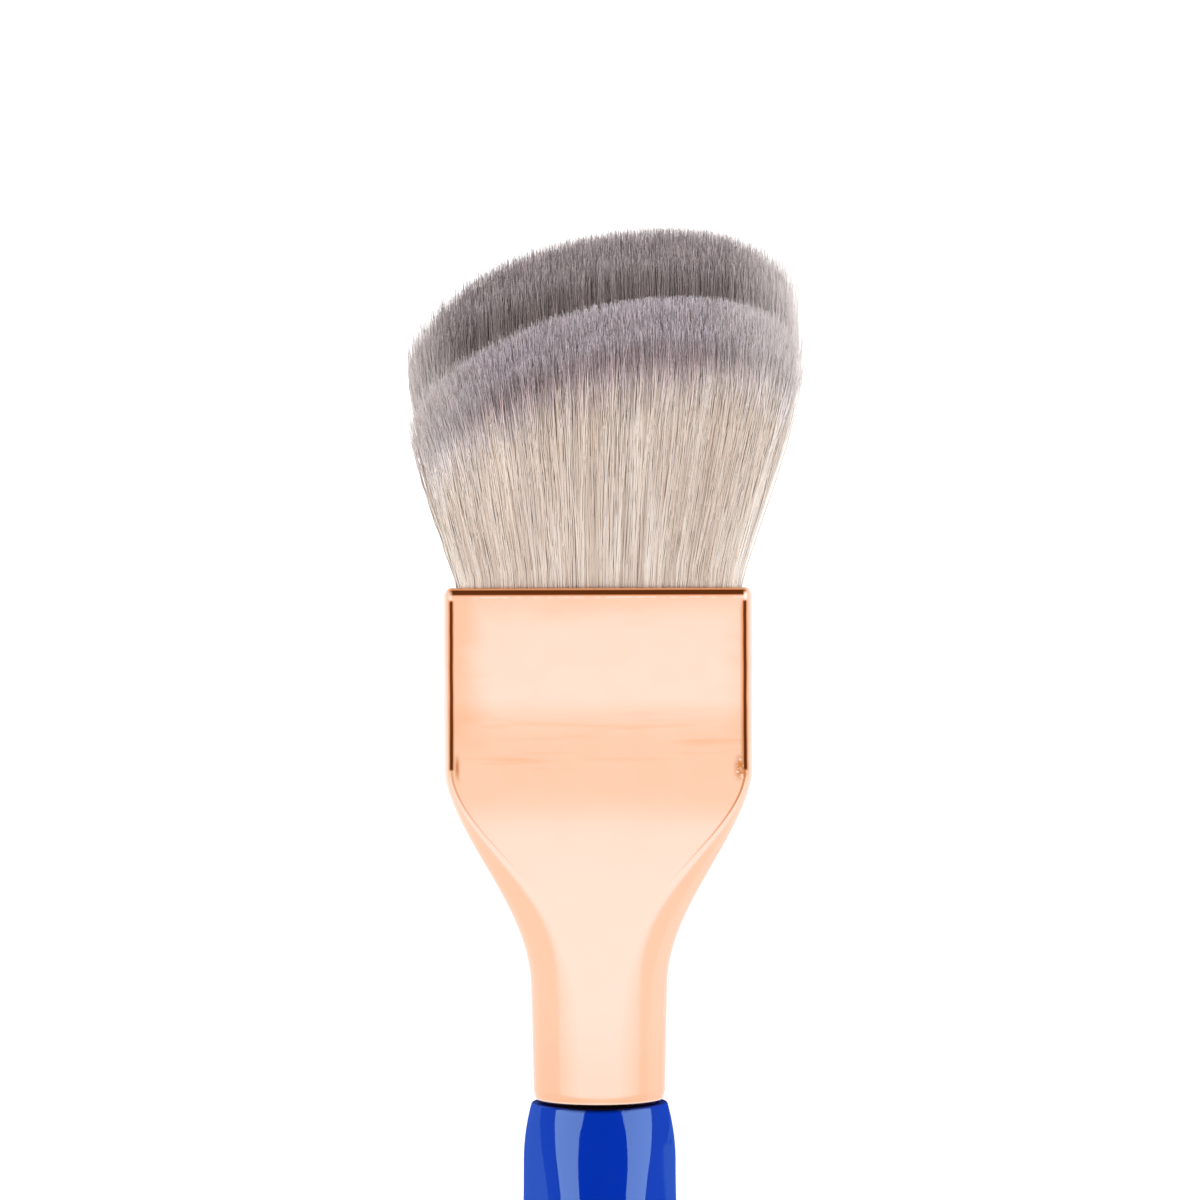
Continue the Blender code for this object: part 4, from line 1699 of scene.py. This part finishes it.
@dataclass
class Studio:
    """White floor and room, a dome and bars for the plating to mirror, and the lacquer's boxes.

    A lamp's colour is how bright its face looks in each colour, 1 for white.
    """

    frame: BrushFrame
    handle: bpy.types.Object
    floor_size: float = 12.0
    floor_colour: float = 0.92
    floor_glow: float = 0.42
    room: float = 0.66
    room_in_mirrors: float = 0.03
    sky: float = 0.75
    sky_size: float = 3.2
    side_panels: tuple[tuple[str, float, float], ...] = (
        ("left_panel", -1.0, 1.1),
        ("right_panel", 1.0, 0.6),
    )
    side_size: tuple[float, float] = (1.2, 1.0)
    side_angle: float = math.radians(70.0)
    dome: float = 1.03
    dome_radius: float = 3.0
    dome_floor: float = 0.05 * MM
    bars: tuple[tuple[float, float, float], ...] = (
        (14.0, -0.620, 0.050),
        (8.8, -0.585, 0.067),
        (4.7, -0.550, 0.084),
        (2.9, -0.510, 0.100),
        (2.0, -0.475, 0.117),
        (1.4, -0.440, 0.134),
    )
    bar_height: float = 0.8
    bar_colour: Colour = (0.28, 0.30, 0.58)
    bar_step: float = 0.02
    box_reach: float = 0.5
    boxes: tuple[EdgedBox, ...] = (
        EdgedBox("left_box", -1.0, 81.0, BOX, ((0.70, 26.0), (0.25, 26.8), (0.158, 28.8), (0.12, 31.5),
                                               (0.089, 33.8), (0.051, 35.2), (-0.086, 38.6), (-0.70, 45.0))),
        EdgedBox("left_fill", -1.0, 92.0, SHEEN, ((0.70, 81.0), (-0.70, 81.0))),
        EdgedBox("right_box", 1.0, 92.0, BOX, ((0.70, 39.5), (0.20, 40.0), (0.135, 41.6), (0.092, 44.6),
                                               (0.036, 46.8), (-0.086, 50.6), (-0.70, 57.0))),
    )
    laid_height: float = 0.2 * MM
    glow_lamps: tuple[LaidLamp, ...] = (
        LaidLamp("left_glow", (-0.25, 0.060), (-0.020, 0.060), 0.0225, (0.0, 0.15, 0.26)),
        LaidLamp("right_glow", (0.020, 0.060), (0.25, 0.060), 0.0225, (0.0, 0.08, 0.13)),
        LaidLamp("neck_glow", (0.014, 0.0375), (0.25, 0.0375), 0.030, (0.0, 0.06, 0.11)),
    )
    flank_lamps: tuple[LaidLamp, ...] = (
        LaidLamp("right_apron", (0.062, 0.25), (0.52, 0.25), 0.50, BOX),
        LaidLamp("sheen", (-0.52, 0.25), (0.52, 0.25), 0.50, SHEEN),
        LaidLamp("left_petal", (-0.0205, 0.045), (-0.0045, 0.045), 0.043, PETAL),
        LaidLamp("right_petal", (-0.0054, 0.0300), (0.0185, 0.0216), 0.021, PETAL),
        LaidLamp("left_flank", (-0.0225, 0.002), (-0.004, 0.002), 0.20, PETAL),
        LaidLamp("right_flank", (0.004, 0.002), (0.0225, 0.002), 0.20, PETAL),
    )
    picture_pixels: float = 1200.0
    pixels_a_mm: float = 12.83
    camera_distance: float = 335.0 * MM
    sensor: float = 36.0
    roll: float = math.radians(-0.18)
    aim: tuple[float, float] = (0.16 * MM, -0.94 * MM)

    def add_floor(self) -> None:
        """Lays a white floor that stays white to the camera and keeps the brush's shadow."""
        material, graph, shader = new_material("studio_floor")
        shader.inputs["Base Color"].default_value = (*(self.floor_colour,) * 3, 1.0)
        shader.inputs["Roughness"].default_value = 0.8
        shader.inputs["Specular IOR Level"].default_value = 0.0
        rays = graph.add("ShaderNodeLightPath").outputs
        seen = graph.math("MAXIMUM", rays["Is Camera Ray"], rays["Is Glossy Ray"])
        seen = graph.math("MAXIMUM", seen, rays["Is Transmission Ray"])
        glow = graph.add("ShaderNodeEmission", {"Strength": graph.product(seen, self.floor_glow)})
        lit = graph.add("ShaderNodeAddShader", {0: shader.outputs[0], 1: glow.outputs[0]})
        clear = graph.add("ShaderNodeBsdfTransparent")
        below = graph.add("ShaderNodeNewGeometry").outputs["Backfacing"]
        graph.surface(graph.add("ShaderNodeMixShader", {0: below, 1: lit.outputs[0], 2: clear.outputs[0]}))
        half = self.floor_size / 2.0
        corners = [(-half, -half, 0.0), (half, -half, 0.0), (half, half, 0.0), (-half, half, 0.0)]
        plain_object("studio_floor", corners, [(0, 1, 2, 3)], material)

    def add_world(self) -> None:
        """Makes an even room, white to the camera and dark in mirrors."""
        world = bpy.data.worlds.new("studio_room")
        world.use_nodes = True
        graph = Graph(world.node_tree)
        background = world.node_tree.nodes["Background"]
        rays = graph.add("ShaderNodeLightPath").outputs
        strength = graph.lerp(rays["Is Glossy Ray"], self.room, self.room_in_mirrors)
        strength = graph.lerp(rays["Is Camera Ray"], strength, 1.0)
        graph.feed(background.inputs["Strength"], strength)
        background.inputs["Color"].default_value = (1.0, 1.0, 1.0, 1.0)
        bpy.context.scene.world = world

    def add_dome(self) -> None:
        """Encloses the set, floor too, in white that only mirrors see and the lacquer doesn't."""
        material, graph, _ = new_material("mirror_dome")
        graph.surface(graph.add("ShaderNodeEmission", {"Strength": self.dome}))
        material.cycles.emission_sampling = "NONE"
        builder = bmesh.new()
        bmesh.ops.create_uvsphere(builder, u_segments=32, v_segments=16, radius=self.dome_radius)
        corners = [(*vertex.co.xy, max(vertex.co.z, self.dome_floor)) for vertex in builder.verts]
        faces = [tuple(vertex.index for vertex in face.verts) for face in builder.faces]
        builder.free()
        dome = plain_object("mirror_dome", corners, faces, material)
        show_in_mirrors_only(dome)
        self.link_light(dome, only=False)

    def add_softbox(
        self,
        name: str,
        offset: Vector,
        across: Vector,
        size: tuple[float, float],
        colour: Colour,
        back: Vector = UP,
    ) -> bpy.types.Object:
        """Adds a rectangular softbox.

        Args:
            name: The lamp's name.
            offset: Where it hangs, from the mouth.
            across: The direction of its first side.
            size: Its two sides.
            colour: How bright its face looks in each colour.
            back: The direction that its back faces.

        Returns:
            The lamp.
        """
        lamp = bpy.data.lights.new(name, "AREA")
        lamp.shape = "RECTANGLE"
        lamp.size, lamp.size_y = size
        brightest = max(colour)
        lamp.color = [part / brightest for part in colour]
        lamp.energy = brightest * math.pi * size[0] * size[1]
        box = bpy.data.objects.new(name, lamp)
        turn = Matrix((across, back.cross(across), back)).transposed()
        box.matrix_world = Matrix.Translation(self.frame.mouth + offset) @ turn.to_4x4()
        box.visible_camera = False
        bpy.context.scene.collection.objects.link(box)
        return box

    def link_light(self, source: bpy.types.Object, only: bool) -> None:
        """Makes a light reach only the lacquered handle, or all but the handle.

        Args:
            source: The lamp or glowing object.
            only: True to light only the handle, False to leave it out.
        """
        group = bpy.data.collections.new(f"{source.name}_receivers")
        group.objects.link(self.handle)
        source.light_linking.receiver_collection = group
        if not only:
            group.collection_objects[0].light_linking.link_state = "EXCLUDE"

    def add_panels(self) -> None:
        """Hangs the panels that light the bristles: one over the set and one at each side."""
        size = (self.sky_size, self.sky_size)
        panels = [self.add_softbox("sky_panel", UP, ALONG_X, size, (self.sky,) * 3)]
        for name, side, strength in self.side_panels:
            back = Vector((side * math.sin(self.side_angle), 0.0, math.cos(self.side_angle)))
            panels.append(self.add_softbox(name, back, ALONG_Y, self.side_size, (strength,) * 3, back))
        for panel in panels:
            panel.visible_glossy = False
            self.link_light(panel, only=False)

    def add_plating_lights(self) -> None:
        """Adds what only the plating mirrors: the bars over the head and the glow on the floor."""
        colour = tuple(part / len(self.bars) for part in self.bar_colour)
        lamps = []
        for number, (length, low, high) in enumerate(self.bars):
            height = self.bar_height + self.bar_step * number
            offset = Vector((0.0, (low + high) / 2.0 - self.frame.mouth.y, height))
            bar = self.add_softbox(f"bright_bar_{number}", offset, ALONG_X, (length, high - low), colour)
            lamps.append(bar)
        lamps += [self.lay_lamp(lamp) for lamp in self.glow_lamps]
        for lamp in lamps:
            lamp.visible_diffuse = False
            self.link_light(lamp, only=False)

    def add_lacquer_lights(self) -> None:
        """Hangs the boxes that the lacquer mirrors as two bars, and lays the lamps of its flanks."""
        lamps = []
        for box in self.boxes:
            for start, end, low in box.strips():
                middle, half = math.radians((low + box.upper) / 2.0), math.radians((box.upper - low) / 2.0)
                back = Vector((box.side * math.sin(middle), 0.0, math.cos(middle)))
                offset = back * self.box_reach + ALONG_Y * (start + end) / 2.0
                size = (start - end, 2.0 * self.box_reach * math.tan(half))
                lamps.append(self.add_softbox(box.name, offset, ALONG_Y, size, box.colour, back))
        lamps += [self.lay_lamp(lamp) for lamp in self.flank_lamps]
        for lamp in lamps:
            lamp.visible_diffuse = False
            self.link_light(lamp, only=True)

    def lay_lamp(self, laid: LaidLamp) -> bpy.types.Object:
        """Lays a lamp on the floor.

        Args:
            laid: Its name, place, width and colour.

        Returns:
            The lamp.
        """
        edge = Vector((*laid.end, 0.0)) - Vector((*laid.start, 0.0))
        along = edge.normalized()
        down = Vector((-along.y, along.x, 0.0))
        if down.y > 0.0:
            down = -down
        middle = Vector((*laid.start, self.laid_height)) + edge / 2.0 + down * laid.width / 2.0
        size = (edge.length, laid.width)
        return self.add_softbox(laid.name, middle - self.frame.mouth, along, size, laid.colour, -UP)

    def add_camera(self) -> None:
        """Sets the camera over the head, level with the picture's middle."""
        data = bpy.data.cameras.new("camera")
        data.sensor_width = self.sensor
        data.lens = self.sensor * self.camera_distance / (self.picture_pixels / self.pixels_a_mm * MM)
        data.clip_start, data.clip_end = 0.01, 50.0
        camera = bpy.data.objects.new("camera", data)
        camera.location = self.frame.mouth + Vector((*self.aim, self.camera_distance))
        camera.rotation_euler = (0.0, 0.0, self.roll)
        bpy.context.scene.collection.objects.link(camera)
        bpy.context.scene.camera = camera

    def build(self) -> None:
        """Builds the whole studio."""
        self.add_floor()
        self.add_world()
        self.add_dome()
        self.add_panels()
        self.add_plating_lights()
        self.add_lacquer_lights()
        self.add_camera()
        bpy.context.scene.view_settings.view_transform = "Standard"


@dataclass
class HiddenParts:
    """The solids inside the ferrule, which keep their shape and get a finish."""

    nodes: dict[str, bpy.types.Object]
    finishes: dict[str, HiddenFinish] = field(
        default_factory=lambda: {
            "glue_plug": HiddenFinish("amber_resin", srgb(196, 160, 88), srgb(150, 112, 52), 0.25, 300.0),
            "spacer_strip": HiddenFinish("spacer_card", srgb(120, 108, 96), srgb(92, 82, 72), 0.8, 900.0),
            "front_root_tie": HiddenFinish(
                "front_thread", srgb(226, 220, 206), srgb(190, 182, 166), 0.8, 2500.0
            ),
            "rear_root_tie": HiddenFinish(
                "rear_thread", srgb(220, 214, 200), srgb(182, 174, 158), 0.8, 2500.0
            ),
        }
    )

    def dress(self) -> None:
        """Gives each hidden solid its finish."""
        for node, finish in self.finishes.items():
            mesh = self.nodes[node].data
            mesh.materials.clear()
            mesh.materials.append(finish.build())
            LOG.info("node %s keeps its solid, finish %s", node, finish.name)


FRONT_KNOT = KnotShape(
    side=Side.FRONT,
    reach=22.7 * MM,
    slant=3.4 * MM,
    rise=7.3 * MM,
    dome_power=2.0,
    flared_outer=5.4 * MM,
    flare_left=3.9 * MM,
    flare_right=4.4 * MM,
    crest=0.35,
    fall=7.6 * MM,
    layer_edges=(-1.0, -0.45, 0.2, 0.7, 1.0),
)
REAR_KNOT = KnotShape(
    side=Side.REAR,
    reach=28.44 * MM,
    slant=2.6 * MM,
    rise=8.05 * MM,
    dome_power=2.25,
    flared_outer=5.4 * MM,
    flare_left=3.3 * MM,
    flare_right=4.15 * MM,
    crest=0.55,
    fall=9.9 * MM,
    layer_edges=(-1.0, -0.7, -0.2, 0.45, 1.0),
)
FRONT_FILAMENT = Filament(
    "front_filament",
    root=(0.785, 0.68, 0.588),
    cool_root=(0.76, 0.685, 0.62),
    tip=(0.70, 0.63, 0.675),
    band=(0.55, 0.44, 0.452),
    inside=(0.70, 0.56, 0.455),
    fade_start=1.5 * MM,
    fade_end=5.4 * MM,
    pale_left=0.48,
    pale_right=0.48,
    tip_length=1.1 * MM,
)
# The rear knot's tip and band are darker than the front's, partly painted shade from the front knot.
REAR_FILAMENT = Filament(
    "rear_filament",
    root=(0.785, 0.68, 0.588),
    cool_root=(0.76, 0.685, 0.62),
    tip=(0.58, 0.495, 0.50),
    band=(0.364, 0.30, 0.29),
    inside=(0.70, 0.56, 0.455),
    fade_start=6.0 * MM,
    fade_end=10.0 * MM,
    pale_left=0.72,
    pale_right=0.62,
)


def main() -> None:
    """Builds the brush's pieces in order, then the studio round them."""
    logging.basicConfig(level=logging.INFO, format="%(name)s: %(message)s")
    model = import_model()
    frame = BrushFrame.measure()
    uneven = build_surface_group()
    plate = RoseGold(frame.mouth.y, frame.mouth_half_width, frame.ferrule_length)
    Ferrule(frame, plate.build(uneven)).build()
    handle = Handle(frame, BlueLacquer(frame.shoulder_y).build(uneven)).build()
    tree = BristleTree()
    for shape, filament, node, slot, seed in (
        (FRONT_KNOT, FRONT_FILAMENT, "front_tuft", "front_fibre", 11),
        (REAR_KNOT, REAR_FILAMENT, "rear_tuft", "rear_fibre", 1011),
    ):
        BristleKnot(frame, tree, shape, filament.build(), node, slot, seed).build()
    HiddenParts(model["nodes"]).dress()
    Studio(frame, handle).build()


if __name__ == "__main__":
    main()
